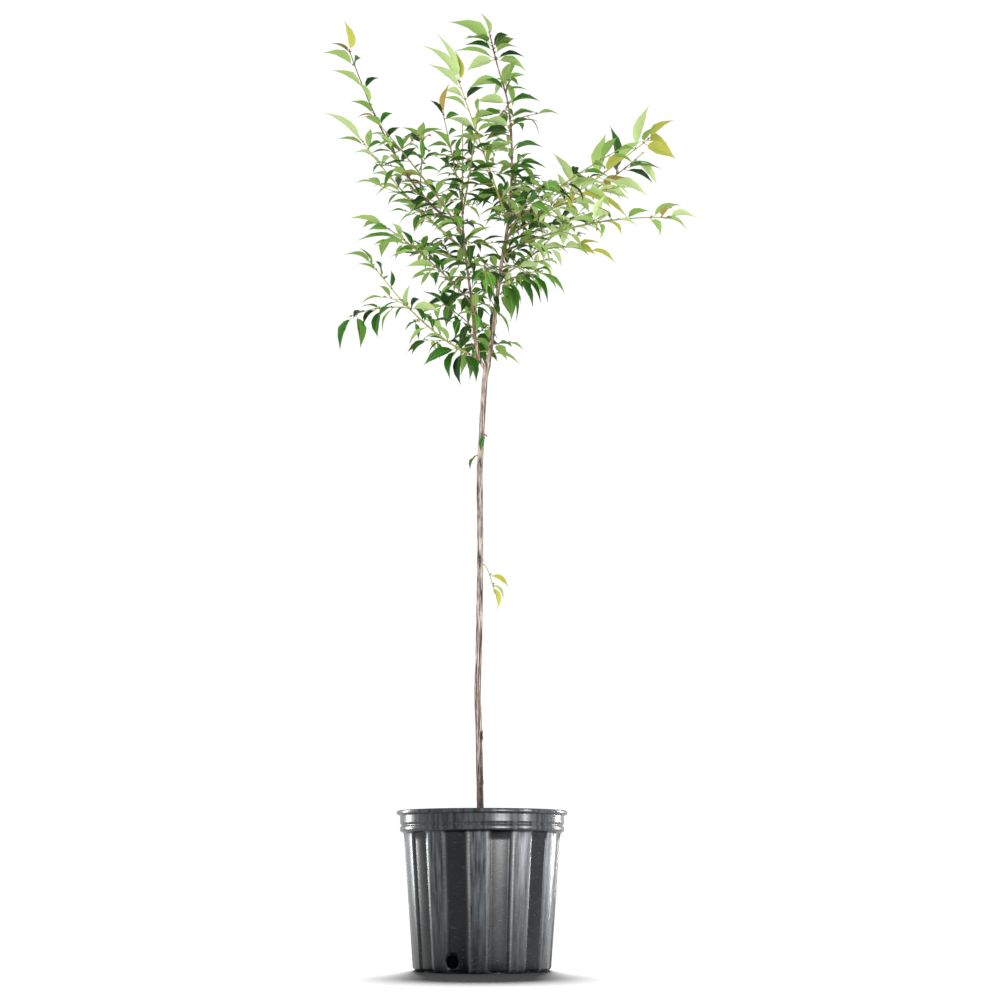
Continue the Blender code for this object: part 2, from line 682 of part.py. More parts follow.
def has_bough(shoot):
    """Whether a shoot's bare foot is a limb of its own."""
    return shoot.bare >= BOUGH_FROM and shoot.parent != TRUNK


def bough_of(shoot, line):
    """Middle line and radii of a shoot's bare foot."""
    spread = np.linspace(0, shoot.bare * lengths_along(line)[-1], BOUGH_STEPS + 1)
    return points_at(line, spread), np.interp(spread, lengths_along(line), twig_radii(line))


def twigs_of(shoot, limbs):
    """A shoot's twigs, its stem first and then its forks, each with the shoot values it grows by."""
    line = shoot_line(shoot, limbs)
    twigs = [(line, shoot)]
    for fork in FORKS:
        if fork.shoot == shoot.name:
            foot = point_along(line, lengths_along(line), fork.along * lengths_along(line)[-1])
            side = arched_line(foot, fork.azimuth, fork.reach, fork.rise, fork.bow, 0.0, FORK_STEPS)
            grows = shoot._replace(leaves=fork.leaves, foot_leaf=shoot.foot_leaf * fork.leaf_share,
                                   tip_leaf=shoot.tip_leaf * fork.leaf_share, droop=fork.droop,
                                   bare=fork.bare)
            twigs.append((side, grows))
    return twigs


def twig_radii(line):
    """Radius at each point of a twig: a longer twig is thicker at its foot."""
    along = lengths_along(line)
    foot = TWIG_TIP_RADIUS + TWIG_RADIUS_PER_METRE * along[-1]
    return foot + (TWIG_TIP_RADIUS - foot) * along / along[-1]


def leader_radii(line, foot, foot_height, tip_height):
    """Radius at each point of a leader."""
    share = np.clip((line[:, 2] - foot_height) / (tip_height - foot_height), 0, 1)
    return foot + (LEADER_TIP_RADIUS - foot) * share ** 0.8


def trunk_radii(line):
    """Radius at each point of the trunk, with the flare at its foot."""
    share = np.clip((line[:, 2] - SOIL_CROWN) / (FORK_HEIGHT - SOIL_CROWN), 0, 1)
    low = np.clip(1 - (line[:, 2] - SOIL_CROWN) / FLARE_HEIGHT, 0, 1)
    return TRUNK_RADIUS + (TRUNK_TOP_RADIUS - TRUNK_RADIUS) * share + FLARE * low ** 2


def limb_radii(parent, line):
    """Radius at each point of a limb line that the shoots leave from."""
    if parent == WEST:
        return leader_radii(line, WEST_RADIUS, WEST_STATIONS[0][2], WEST_STATIONS[-1][2])
    east = leader_radii(line, EAST_RADIUS, FORK_HEIGHT, EAST_STATIONS[-1][2])
    return np.where(line[:, 2] <= FORK_HEIGHT, trunk_radii(line), east)


def stretches(owner, line, radii):
    """The straight stretches of a limb, as its owner's name, starts, ends and radii."""
    return owner, line[:-1], line[1:], np.maximum(radii[:-1], radii[1:])


def is_clear(points, mine, shoot, limbs, leaves):
    """Whether a leaf's points keep clear of other limbs, other masses and its own neighbours."""
    for owner, starts, ends, radii in limbs:
        if owner not in (shoot.name, shoot.parent if shoot.reach == 0 else None):
            if distance_to_limbs(points, starts, ends, radii) < LEAF_TO_LIMB:
                return False
    for owner, others in leaves:
        if owner != shoot.name and nearest(points, others) < LEAF_TO_LEAF:
            return False
    return not mine or nearest(points[2:], np.vstack(mine)) > OWN_LEAF_TO_LEAF


def nearest(points, others):
    """Smallest distance between two sets of points."""
    return np.linalg.norm(points[:, None] - others[None], axis=2).min()


def grown_plant():
    """Lines of the limbs, and for each shoot its twigs and the leaves that found room."""
    limbs = {TRUNK: smooth_line(TRUNK_STATIONS + EAST_STATIONS), WEST: smooth_line(WEST_STATIONS)}
    limbs[EAST] = limbs[TRUNK]
    twigs = {shoot.name: twigs_of(shoot, limbs) for shoot in SHOOTS}
    wood = [stretches(parent, limbs[parent], limb_radii(parent, limbs[parent])) for parent in (EAST, WEST)]
    wood += [stretches(name, line, twig_radii(line)) for name, lines in twigs.items() for line, _ in lines]
    for shoot in SHOOTS:
        if has_bough(shoot):
            wood.append(stretches(f"bough_{shoot.name}", *bough_of(shoot, twigs[shoot.name][0][0])))
    placed = []
    leaves = {shoot.name: [] for shoot in SHOOTS}
    taken = {shoot.name: [] for shoot in SHOOTS}

    def put_first_clear(shoot, tries):
        """Keeps the first leaf of several that stands clear."""
        for leaf in tries:
            points = leaf_points(leaf)
            if is_clear(points, taken[shoot.name], shoot, wood, placed):
                leaves[shoot.name].append(leaf)
                taken[shoot.name].append(points[2:])
                placed.append((shoot.name, points))
                return

    for shoot in SHOOTS:
        for number in range(len(SEEN_LEAVES.get(shoot.name, ()))):
            put_first_clear(shoot, (seen_leaf(twigs[shoot.name], shoot, number, attempt)
                                    for attempt in range(len(LAYOUT_TRIES))))
    for shoot in SHOOTS:
        for key, (line, grows) in enumerate(twigs[shoot.name]):
            along = lengths_along(line)
            for number in range(grows.leaves):
                put_first_clear(shoot, (drawn_leaf(line, along, grows, number, attempt, key)
                                        for attempt in range(LEAF_TRIES)))
    return limbs, twigs, leaves


def fresh_scene():
    """Empty the scene and give the plant and its joining pieces a collection each."""
    for thing in list(bpy.data.objects):
        bpy.data.objects.remove(thing, do_unlink=True)
    plant = bpy.data.collections.new("potted_cherry_tree")
    bpy.context.scene.collection.children.link(plant)
    cutters = bpy.data.collections.new("cutters")
    bpy.context.scene.collection.children.link(cutters)
    return plant, cutters


def finish(name, colour, roughness):
    """A plain material of one colour, in linear values."""
    material = bpy.data.materials.new(name)
    material.use_nodes = True
    shader = material.node_tree.nodes["Principled BSDF"]
    shader.inputs["Base Color"].default_value = (*colour, 1.0)
    shader.inputs["Roughness"].default_value = roughness
    shader.inputs["Metallic"].default_value = 0.0
    return material


def add_object(name, mesh, collection, material=None):
    """A named object for a mesh."""
    thing = bpy.data.objects.new(name, mesh)
    collection.objects.link(thing)
    if material:
        mesh.materials.append(material)
    return thing


def mesh_from(name, work):
    """A mesh from a bmesh, which is freed."""
    mesh = bpy.data.meshes.new(name)
    bmesh.ops.recalc_face_normals(work, faces=work.faces)
    work.to_mesh(mesh)
    work.free()
    return mesh


def turned_profile(profile, steps):
    """A bmesh turned from (radius, height) points round Z; points on the axis become poles."""
    work = bmesh.new()
    ring = [work.verts.new((r, 0.0, z)) for r, z in profile]
    edges = [work.edges.new(pair) for pair in zip(ring, ring[1:])]
    bmesh.ops.spin(work, geom=ring + edges, cent=(0, 0, 0), axis=(0, 0, 1), dvec=(0, 0, 0),
                   angle=math.tau, steps=steps, use_merge=True, use_duplicate=False)
    bmesh.ops.remove_doubles(work, verts=work.verts, dist=WELD)
    return work


def flute_press(phase):
    """How far the wall is pressed in at a phase of the flute, 0 on the rib to 1 in the groove."""
    from_rib = abs((phase + 0.5) % 1.0 - 0.5)
    return min(max((from_rib - RIB_HALF) / FLUTE_SIDE, 0.0), 1.0)


def pot(collection, cutters, material):
    """The nursery pot: a turned wall pressed into flutes, a banded rim and drain holes."""
    profile = [(0.0, 0.0), (BASE_RADIUS - BASE_CORNER, 0.0), (BASE_RADIUS, BASE_CORNER)]
    profile += [(BODY_TOP_RADIUS, BODY_TOP), (BAND_RADIUS, BAND_FOOT)]
    profile += [(BAND_RADIUS, GROOVE_HEIGHT - GROOVE_HALF), (GROOVE_RADIUS, GROOVE_HEIGHT)]
    profile += [(BAND_RADIUS, GROOVE_HEIGHT + GROOVE_HALF), (BAND_RADIUS, LIP_FOOT)]
    profile += [(RIM_RADIUS, LIP_FOOT + LIP_HEIGHT), (RIM_RADIUS, POT_HEIGHT - LIP_EDGE)]
    profile += [(RIM_RADIUS - LIP_EDGE, POT_HEIGHT), (RIM_WALL_RADIUS, POT_HEIGHT)]
    profile += [(RIM_WALL_RADIUS, RIM_FLOOR), (INNER_TOP_RADIUS, RIM_FLOOR - RIM_FLOOR_FALL)]
    profile += [(INNER_BASE_RADIUS, FLOOR_THICKNESS), (0.0, FLOOR_THICKNESS)]
    work = turned_profile(profile, FLUTES * len(FLUTE_PHASES))
    for vert in work.verts:
        radius = math.hypot(vert.co.x, vert.co.y)
        steps = math.atan2(vert.co.y, vert.co.x) / math.tau * FLUTES * len(FLUTE_PHASES)
        flute, place = divmod(round(steps), len(FLUTE_PHASES))
        angle = RIB_AZIMUTH + (flute + FLUTE_PHASES[place]) * math.tau / FLUTES
        if BASE_CORNER - WELD < vert.co.z < BODY_TOP + WELD:
            radius -= FLUTE_DEPTH * flute_press(FLUTE_PHASES[place])
        vert.co.x = radius * math.cos(angle)
        vert.co.y = radius * math.sin(angle)
    thing = add_object("pot", mesh_from("pot", work), collection, material)
    for number in range(DRAIN_HOLES):
        angle = DRAIN_HOLE_AZIMUTH + number * math.tau / DRAIN_HOLES
        hole = bmesh.new()
        bmesh.ops.create_cone(hole, cap_ends=True, segments=16, radius1=DRAIN_HOLE_RADIUS,
                              radius2=DRAIN_HOLE_RADIUS, depth=DRAIN_CUT_LENGTH)
        cutter = add_object(f"drain_cutter_{number + 1}", mesh_from("drain_cutter", hole), cutters)
        cutter.rotation_euler = (0.0, math.pi / 2, angle)
        cutter.location = (BASE_RADIUS * math.cos(angle), BASE_RADIUS * math.sin(angle), DRAIN_HOLE_HEIGHT)
        cutter.hide_render = True
        cutter.display_type = "WIRE"
        cut = thing.modifiers.new(f"drain_{number + 1}", "BOOLEAN")
        cut.operation = "DIFFERENCE"
        cut.solver = "EXACT"
        cut.object = cutter


def potting_soil(collection, material):
    """The filling: follows the pot's inside, a little mounded, with a flat place for the trunk."""
    inner_base = INNER_BASE_RADIUS - SOIL_SIDE_GAP
    inner_top = INNER_TOP_RADIUS - SOIL_SIDE_GAP
    rim_wall = RIM_WALL_RADIUS - SOIL_SIDE_GAP
    profile = [(0.0, FLOOR_THICKNESS + GAP), (inner_base, FLOOR_THICKNESS + GAP)]
    profile += [(inner_top, RIM_FLOOR - RIM_FLOOR_FALL + SOIL_SIDE_GAP)]
    profile += [(rim_wall, RIM_FLOOR + SOIL_SIDE_GAP), (rim_wall, SOIL_EDGE)]
    profile += [(SOIL_FLAT_RADIUS, SOIL_CROWN), (0.0, SOIL_CROWN)]
    work = turned_profile(profile, SOIL_STEPS)
    add_object("potting_soil", mesh_from("potting_soil", work), collection, material)


def guide_curve(name, line, radii):
    """A curve through points, each with its own radius, for a limb to be swept along."""
    curve = bpy.data.curves.new(name, "CURVE")
    curve.dimensions = "3D"
    spline = curve.splines.new("POLY")
    spline.points.add(len(line) - 1)
    for point, place, radius in zip(spline.points, line, radii):
        point.co = (*place, 1.0)
        point.radius = radius
    guide = bpy.data.objects.new(name, curve)
    bpy.context.scene.collection.objects.link(guide)
    return guide


def tube(name, line, radii, sides, collection, material=None):
    """A tapering limb: a ring swept along a curve with its own radius at each point, made a mesh."""
    turns = np.linspace(0, math.tau, sides, endpoint=False)
    ring = guide_curve("ring", [(math.cos(turn), math.sin(turn), 0.0) for turn in turns], [1.0] * sides)
    ring.data.splines[0].use_cyclic_u = True
    guide = guide_curve(name, line, radii)
    guide.data.bevel_mode = "OBJECT"
    guide.data.bevel_object = ring
    guide.data.use_fill_caps = True
    seen = guide.evaluated_get(bpy.context.evaluated_depsgraph_get())
    mesh = bpy.data.meshes.new_from_object(seen)
    for used in (guide, ring):
        curve = used.data
        bpy.data.objects.remove(used, do_unlink=True)
        bpy.data.curves.remove(curve)
    work = bmesh.new()
    work.from_mesh(mesh)
    bpy.data.meshes.remove(mesh)
    bmesh.ops.remove_doubles(work, verts=work.verts, dist=WELD)
    return add_object(name, mesh_from(name, work), collection, material)


def trim(thing, place, outward):
    """Cut a limb's foot off flat with a plane and close the cut."""
    work = bmesh.new()
    work.from_mesh(thing.data)
    geometry = list(work.verts) + list(work.edges) + list(work.faces)
    bmesh.ops.bisect_plane(work, geom=geometry, dist=WELD, plane_co=Vector(place),
                           plane_no=Vector(outward), clear_inner=True)
    bmesh.ops.holes_fill(work, edges=[edge for edge in work.edges if edge.is_boundary])
    bmesh.ops.recalc_face_normals(work, faces=work.faces)
    work.to_mesh(thing.data)
    work.free()


def leaf_solid(name, leaf, collection):
    """A leaf as a thin folded kite: two faces each side of the midrib above, a keel below."""
    tip = leaf_midrib(leaf, 1.0)
    left, right = leaf_margins(leaf, np.array([WIDEST_AT]))
    keel = leaf.root + (tip - leaf.root) * WIDEST_AT - leaf.face * LEAF_KEEL
    points = [leaf.root + leaf.face * LEAF_ROOT, leaf.root - leaf.face * LEAF_ROOT,
              left[0], right[0], keel, tip]
    work = bmesh.new()
    verts = [work.verts.new(point) for point in points]
    for corners in LEAF_FACES:
        work.faces.new([verts[k] for k in corners])
    return add_object(name, mesh_from(name, work), collection)


def main_body(thing):
    """Keep a joined mass's largest body and drop loose scraps and sealed hollows."""
    work = bmesh.new()
    work.from_mesh(thing.data)
    work.verts.ensure_lookup_table()
    left = set(work.verts)
    bodies = []
    while left:
        start = left.pop()
        body = {start}
        edge_of_search = [start]
        while edge_of_search:
            vert = edge_of_search.pop()
            for edge in vert.link_edges:
                other = edge.other_vert(vert)
                if other in left:
                    left.remove(other)
                    body.add(other)
                    edge_of_search.append(other)
        bodies.append(body)
    keep = max(bodies, key=len)
    scraps = [vert for body in bodies if body is not keep for vert in body]
    bmesh.ops.delete(work, geom=scraps, context="VERTS")
    work.to_mesh(thing.data)
    work.free()


def joined(name, stem, pieces, material):
    """A mass: one Boolean union of the stem with a collection of twigs and leaves, applied."""
    join = stem.modifiers.new("join", "BOOLEAN")
    join.operation = "UNION"
    join.solver = "EXACT"
    join.operand_type = "COLLECTION"
    join.collection = pieces
    seen = stem.evaluated_get(bpy.context.evaluated_depsgraph_get())
    mesh = bpy.data.meshes.new_from_object(seen)
    stem.modifiers.remove(join)
    stem.data = mesh
    mesh.materials.clear()
    mesh.materials.append(material)
    for piece in list(pieces.objects):
        bpy.data.objects.remove(piece, do_unlink=True)
    bpy.data.collections.remove(pieces)
    main_body(stem)


def departure(shoot, line, limbs):
    """Plane 0.3 mm clear of the parent limb, square to it on the side where a shoot leaves."""
    parent = limbs[shoot.parent]
    here = at_height(parent, shoot.height)
    run = unit(at_height(parent, shoot.height + 0.004) - at_height(parent, shoot.height - 0.004))
    leave = line[1] - line[0]
    outward = unit(leave - np.dot(leave, run) * run)
    radius = float(limb_radii(shoot.parent, here[None])[0])
    return here + outward * (radius + GAP), outward


def shoot_pieces(shoot, twigs, leaves, limbs, collection, bark, green):
    """A shoot's bough, where it has one, and its mass of twigs and leaves."""
    line = twigs[0][0]
    length = lengths_along(line)[-1]
    start = 0.0
    place, outward = departure(shoot, line, limbs)
    if has_bough(shoot):
        bough = tube(f"bough_{shoot.name}", *bough_of(shoot, line), BOUGH_SIDES, collection, bark)
        trim(bough, place, outward)
        start = shoot.bare * length + GAP
    elif shoot.reach == 0:
        start = GAP
    spread = np.linspace(start, length, STEM_STEPS + 1)
    stem_line = points_at(line, spread)
    if shoot.reach == 0:
        radii = limb_radii(shoot.parent, stem_line)
    else:
        radii = np.interp(spread, lengths_along(line), twig_radii(line))
    stem = tube(f"foliage_{shoot.name}", stem_line, radii, TWIG_SIDES, collection)
    if start == 0.0:
        trim(stem, place, outward)
    pieces = bpy.data.collections.new("pieces")
    bpy.context.scene.collection.children.link(pieces)
    for side, _ in twigs[1:]:
        side_line = stretch(side, 0, lengths_along(side)[-1], SIDE_STEPS)
        tube("side_twig", side_line, twig_radii(side_line), TWIG_SIDES, pieces)
    for leaf in leaves:
        leaf_solid("leaf", leaf, pieces)
    joined(f"foliage_{shoot.name}", stem, pieces, green)


def trunk_and_leaders(limbs, collection, bark):
    """The trunk up to the fork and the two leaders, the west one trimmed to the trunk's side."""
    line = between_heights(limbs[TRUNK], TRUNK_STATIONS[0][2], FORK_HEIGHT)
    rings = np.linspace(TRUNK_FOOT_RINGS[-1], lengths_along(line)[-1], TRUNK_STEPS + 1)
    line = points_at(line, TRUNK_FOOT_RINGS[:-1] + tuple(rings))
    trunk = tube("trunk", line, trunk_radii(line), TRUNK_SIDES, collection, bark)
    trim(trunk, (0.0, 0.0, SOIL_CROWN + GAP), (0.0, 0.0, 1.0))
    east = between_heights(limbs[EAST], FORK_HEIGHT, EAST_LEADER_TOP)
    east = stretch(east, GAP, lengths_along(east)[-1], LEADER_STEPS)
    tube("east_leader", east, limb_radii(EAST, east), LEADER_SIDES, collection, bark)
    west = between_heights(limbs[WEST], WEST_STATIONS[0][2], WEST_LEADER_TOP)
    leaving = Shoot("west_leader", TRUNK, WEST_STATIONS[0][2], *[0] * 11)
    place, outward = departure(leaving, west, limbs)
    west = stretch(west, 0, lengths_along(west)[-1], LEADER_STEPS)
    leader = tube("west_leader", west, limb_radii(WEST, west), LEADER_SIDES, collection, bark)
    trim(leader, place, outward)


def build():
    """Model the pot, the soil and the whole plant."""
    plant, cutters = fresh_scene()
    pot(plant, cutters, finish("black_plastic", (0.035, 0.040, 0.046), 0.42))
    potting_soil(plant, finish("bark_mix", (0.060, 0.038, 0.024), 0.95))
    bark = finish("bark", (0.20, 0.145, 0.115), 0.80)
    green = finish("leaf_green", (0.075, 0.200, 0.055), 0.55)
    limbs, twigs, leaves = grown_plant()
    trunk_and_leaders(limbs, plant, bark)
    for shoot in SHOOTS:
        shoot_pieces(shoot, twigs[shoot.name], leaves[shoot.name], limbs, plant, bark, green)
    print(sum(len(found) for found in leaves.values()), "leaves in", len(SHOOTS), "masses")


build()
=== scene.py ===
# %% [markdown]
# # A young cherry tree in a nursery pot
#
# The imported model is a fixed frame: it has the pot, the filling, the trunk, the limbs and the masses of
# foliage as plain closed solids at their real size, in metres, with +Z up and the pot's underside on the
# floor. This script dresses them. Every piece is worked out as arrays of points and put into a mesh at its
# real place, so that no object is moved, turned or scaled afterwards.

import json
import math
from collections import namedtuple

import bpy
import numpy as np
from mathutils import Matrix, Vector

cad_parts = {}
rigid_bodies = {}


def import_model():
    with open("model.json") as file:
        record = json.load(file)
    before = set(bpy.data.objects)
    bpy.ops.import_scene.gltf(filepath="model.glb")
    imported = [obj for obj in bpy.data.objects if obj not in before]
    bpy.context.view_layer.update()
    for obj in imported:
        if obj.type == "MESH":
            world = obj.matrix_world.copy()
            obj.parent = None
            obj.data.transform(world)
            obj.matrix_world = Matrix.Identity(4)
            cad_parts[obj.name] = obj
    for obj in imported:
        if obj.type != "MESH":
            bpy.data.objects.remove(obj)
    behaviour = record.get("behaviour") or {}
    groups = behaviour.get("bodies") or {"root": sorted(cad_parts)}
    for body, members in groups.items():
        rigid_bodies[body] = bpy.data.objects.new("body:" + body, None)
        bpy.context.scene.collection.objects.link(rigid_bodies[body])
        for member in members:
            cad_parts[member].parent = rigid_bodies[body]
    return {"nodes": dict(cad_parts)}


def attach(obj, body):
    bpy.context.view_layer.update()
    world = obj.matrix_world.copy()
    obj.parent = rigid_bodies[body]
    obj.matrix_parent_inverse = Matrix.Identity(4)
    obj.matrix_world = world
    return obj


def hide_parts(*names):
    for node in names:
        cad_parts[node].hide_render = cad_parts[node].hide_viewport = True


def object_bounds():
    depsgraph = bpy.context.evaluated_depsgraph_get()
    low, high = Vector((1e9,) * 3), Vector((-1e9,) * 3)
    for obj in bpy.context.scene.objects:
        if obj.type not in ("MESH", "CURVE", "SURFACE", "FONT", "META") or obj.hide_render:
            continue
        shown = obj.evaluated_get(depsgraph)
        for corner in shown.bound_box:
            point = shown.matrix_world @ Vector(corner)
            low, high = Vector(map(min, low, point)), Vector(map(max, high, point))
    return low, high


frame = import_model()
CAD_BOX = [list(corner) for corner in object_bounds()]
print("CAD box", np.round(CAD_BOX, 3).tolist(), "nodes", len(frame["nodes"]))

# %% [markdown]
# ## The camera
#
# The tree is seen from low down and a little way off, so that the pot is seen level and the crown from
# below. One could turn a camera by eye until it fits. Here it is worked out: the focal length in
# pixels of a 1000 pixel frame gives the lens, and the pitch is the angle that brings the pot's foot and the
# top of the crown into the frame together without shifting the lens.

# %% Camera
IMAGE_SIDE = 1000
FOCAL_PIXELS = 1795.0
CAMERA_PLACE = (0.0315, -3.2, 0.157)
CAMERA_PITCH = math.radians(11.885)
SENSOR_WIDTH = 36.0

camera_data = bpy.data.cameras.new("camera")
camera_data.sensor_width = SENSOR_WIDTH
camera_data.lens = FOCAL_PIXELS / IMAGE_SIDE * SENSOR_WIDTH
camera = bpy.data.objects.new("camera", camera_data)
camera.location = CAMERA_PLACE
camera.rotation_euler = (math.pi / 2 + CAMERA_PITCH, 0.0, 0.0)
bpy.context.scene.collection.objects.link(camera)
bpy.context.scene.camera = camera
print("lens", round(camera_data.lens, 1), "mm")

# %% [markdown]
# ## Meshes from arrays
#
# A mesh in Blender is a list of points, and a list of faces that name their points. Modelling tools fill
# these lists one click at a time. Filling them from numpy arrays is far quicker for a plant, which repeats a
# few shapes hundreds of times. A face array has four columns, and a triangle has -1 in its last one.

# %% Faces of a grid
def grid_faces(rows, columns, wrap):
    """Quads between neighbouring rows and columns of points; wrap joins the last column to the first."""
    row = np.arange(rows - 1)[:, None] * columns
    column = np.arange(columns if wrap else columns - 1)[None]
    beside = (column + 1) % columns
    quads = [row + column, row + beside, row + columns + beside, row + columns + column]
    return np.stack(quads, -1).reshape(-1, 4)


def fan_faces(centre, ring, outward):
    """Triangles from a centre point to a closed ring of points, facing with the ring's turn or against it."""
    beside = np.roll(ring, -1)
    middle = np.full(len(ring), centre)
    pair = (ring, beside) if outward else (beside, ring)
    return np.stack([middle, *pair, np.full(len(ring), -1)], -1)


def closed_rings(rows, columns, first_centre, last_centre, turned_in=False, start=0):
    """Faces of stacked rings of points, numbered from start on, closed at both ends round a centre point."""
    sides = grid_faces(rows, columns, True) + start
    ring = np.arange(columns) + start
    return np.vstack([sides[:, ::-1] if turned_in else sides, fan_faces(first_centre, ring, turned_in),
                      fan_faces(last_centre, ring + (rows - 1) * columns, not turned_in)])


print(len(grid_faces(3, 8, True)), "faces between three rings of eight points")

# %% Mesh from arrays
def put_mesh(name, points, faces, materials, slots=None, smooth=True):
    """An object at the origin for arrays of points and faces."""
    mesh = bpy.data.meshes.new(name)
    mesh.vertices.add(len(points))
    mesh.vertices.foreach_set("co", np.ascontiguousarray(points, np.float32).ravel())
    counts = (faces >= 0).sum(1)
    corners = faces[faces >= 0]
    mesh.loops.add(len(corners))
    mesh.loops.foreach_set("vertex_index", corners.astype(np.int32))
    mesh.polygons.add(len(faces))
    mesh.polygons.foreach_set("loop_start", (np.cumsum(counts) - counts).astype(np.int32))
    mesh.polygons.foreach_set("use_smooth", np.full(len(faces), smooth))
    if slots is not None:
        mesh.polygons.foreach_set("material_index", np.asarray(slots, np.int32))
    mesh.update(calc_edges=True)
    for material in materials:
        mesh.materials.append(material)
    piece = bpy.data.objects.new(name, mesh)
    bpy.context.scene.collection.objects.link(piece)
    return piece


def put_values(piece, name, values):
    """An attribute of a mesh with one value for each point."""
    values = np.asarray(values, np.float32)
    piece.data.attributes.new(name, "FLOAT", "POINT").data.foreach_set("value", values)


def stacked(shapes):
    """Several (points, faces, slots) shapes as one, each one's faces counted on from the last points."""
    start = np.cumsum([0] + [len(points) for points, _, _ in shapes])
    faces = [np.where(faces >= 0, faces + first, -1) for (_, faces, _), first in zip(shapes, start)]
    return (np.vstack([points for points, _, _ in shapes]), np.vstack(faces),
            np.concatenate([np.broadcast_to(slots, len(faces)) for _, faces, slots in shapes]))


print(len(bpy.data.meshes), "meshes in the frame")

# %% [markdown]
# ## Tubes
#
# Trunk, boughs, twigs and leaf stalks are all tubes. A curve with a bevel would do for plain ones, but its
# surface can't be pushed in and out. Here a ring of points is carried along a line. The ring is turned as
# little as possible from one place to the next, so that it never twists, and both ends are closed.

# %% Tube along a line
RIGHT = np.array([1.0, 0.0, 0.0])
FRONT = np.array([0.0, -1.0, 0.0])
UP = np.array([0.0, 0.0, 1.0])
NEARLY_ALONG = 0.9
TINY = 1e-12


def unit(v):
    """The vector, or each row, at length one."""
    return v / np.maximum(np.linalg.norm(v, axis=-1, keepdims=True), TINY)


def ring_frames(line):
    """Direction of the line at each point, and two vectors square to it that turn as little as can be."""
    onward = unit(np.gradient(line, axis=0))
    guide = FRONT if abs(onward[0, 1]) < NEARLY_ALONG else RIGHT
    first = np.empty_like(line)
    for place, direction in enumerate(onward):
        guide = unit(guide - np.dot(guide, direction) * direction)
        first[place] = guide
    return onward, first, np.cross(onward, first)


def tube_shape(line, radii, sides, slot=0):
    """Points, faces and slots of a tube: ring point = line + radius (cos a first + sin a second).

    radii is one number for each point of the line, or an array (points, sides) for a surface with relief.
    """
    onward, first, second = ring_frames(line)
    turn = np.linspace(0, math.tau, sides, endpoint=False)
    radii = np.broadcast_to(np.reshape(radii, (len(line), -1)), (len(line), sides))
    rings = line[:, None] + radii[..., None] * (np.cos(turn)[:, None] * first[:, None]
                                                 + np.sin(turn)[:, None] * second[:, None])
    points = np.vstack([rings.reshape(-1, 3), line[:1], line[-1:]])
    return points, closed_rings(len(line), sides, len(points) - 2, len(points) - 1), slot


print(len(tube_shape(np.array([0 * UP, UP]), (0.01, 0.01), 8)[1]), "faces in a straight tube of eight sides")

# %% [markdown]
# ## The limbs' own lines
#
# A young grafted cherry has one slim stem that forks into two leaders. Their middle lines are smooth curves
# through a few stations each, read off the tree as it stands: up, a little to one side, and back again. A
# Catmull-Rom curve passes through every station, so that the numbers stay real places on the tree. The
# trunk and the east leader are one line, and the west leader leaves it at the fork.

# %% Stations of the trunk and the leaders
TRUNK, EAST, WEST = "trunk", "east", "west"
TRUNK_STATIONS = (
    (-0.0022, 0.0, 0.240),
    (-0.0057, 0.0, 0.391),
    (-0.0084, 0.0, 0.484),
    (-0.0061, 0.0, 0.574),
    (-0.0043, 0.0, 0.734),
    (-0.0056, 0.0, 0.877),
    (-0.0019, 0.0, 0.960),
    (0.0031, 0.0, 1.053),
    (0.0090, 0.001, 1.087),
)
EAST_STATIONS = (
    (0.0166, 0.003, 1.135),
    (0.0259, 0.008, 1.218),
    (0.0353, 0.014, 1.295),
    (0.0467, 0.020, 1.373),
    (0.0545, 0.028, 1.491),
    (0.0479, 0.034, 1.613),
    (0.0257, 0.038, 1.704),
    (0.0110, 0.042, 1.771),
)
WEST_STATIONS = (
    (0.0064, 0.000, 1.073),
    (-0.0066, -0.004, 1.099),
    (-0.0158, -0.008, 1.147),
    (-0.0215, -0.012, 1.208),
    (-0.0328, -0.020, 1.293),
    (-0.0386, -0.026, 1.369),
    (-0.0389, -0.032, 1.476),
    (-0.0392, -0.036, 1.547),
)
print(len(TRUNK_STATIONS + EAST_STATIONS + WEST_STATIONS), "stations")

# %% Lines through the stations
STATION_STEPS = 6
SAME_HEIGHT = 0.001


def smooth_line(stations):
    """Catmull-Rom curve through the stations, STATION_STEPS points to each stretch."""
    s = np.asarray(stations, float)
    s = np.vstack([2 * s[0] - s[1], s, 2 * s[-1] - s[-2]])
    t = np.linspace(0, 1, STATION_STEPS, endpoint=False)[:, None]
    rows = []
    for a, b, c, d in zip(s, s[1:], s[2:], s[3:]):
        rows.append(0.5 * (2 * b + (c - a) * t + (2 * a - 5 * b + 4 * c - d) * t ** 2
                           + (3 * b - a - 3 * c + d) * t ** 3))
    return np.vstack(rows + [s[-2][None]])


def lengths_along(line):
    """Distance of each point of a line from its start."""
    steps = np.linalg.norm(np.diff(line, axis=0), axis=1)
    return np.concatenate([[0.0], np.cumsum(steps)])


def point_along(line, along, place):
    """The point of a line at a place, or the points at several, where along says each point's own place."""
    return np.stack([np.interp(place, along, values) for values in line.T], -1)


def points_at(line, distances):
    """The points of a line at distances from its start."""
    return point_along(line, lengths_along(line), distances)


def at_height(line, z):
    """The point of a rising line at one height."""
    return point_along(line, line[:, 2], z)


def between_heights(line, low, high):
    """The stretch of a rising line between two heights."""
    inner = line[(line[:, 2] > low + SAME_HEIGHT) & (line[:, 2] < high - SAME_HEIGHT)]
    return np.vstack([at_height(line, low), inner, at_height(line, high)])


print("trunk", round(lengths_along(smooth_line(TRUNK_STATIONS))[-1], 3), "m from the soil to the fork")

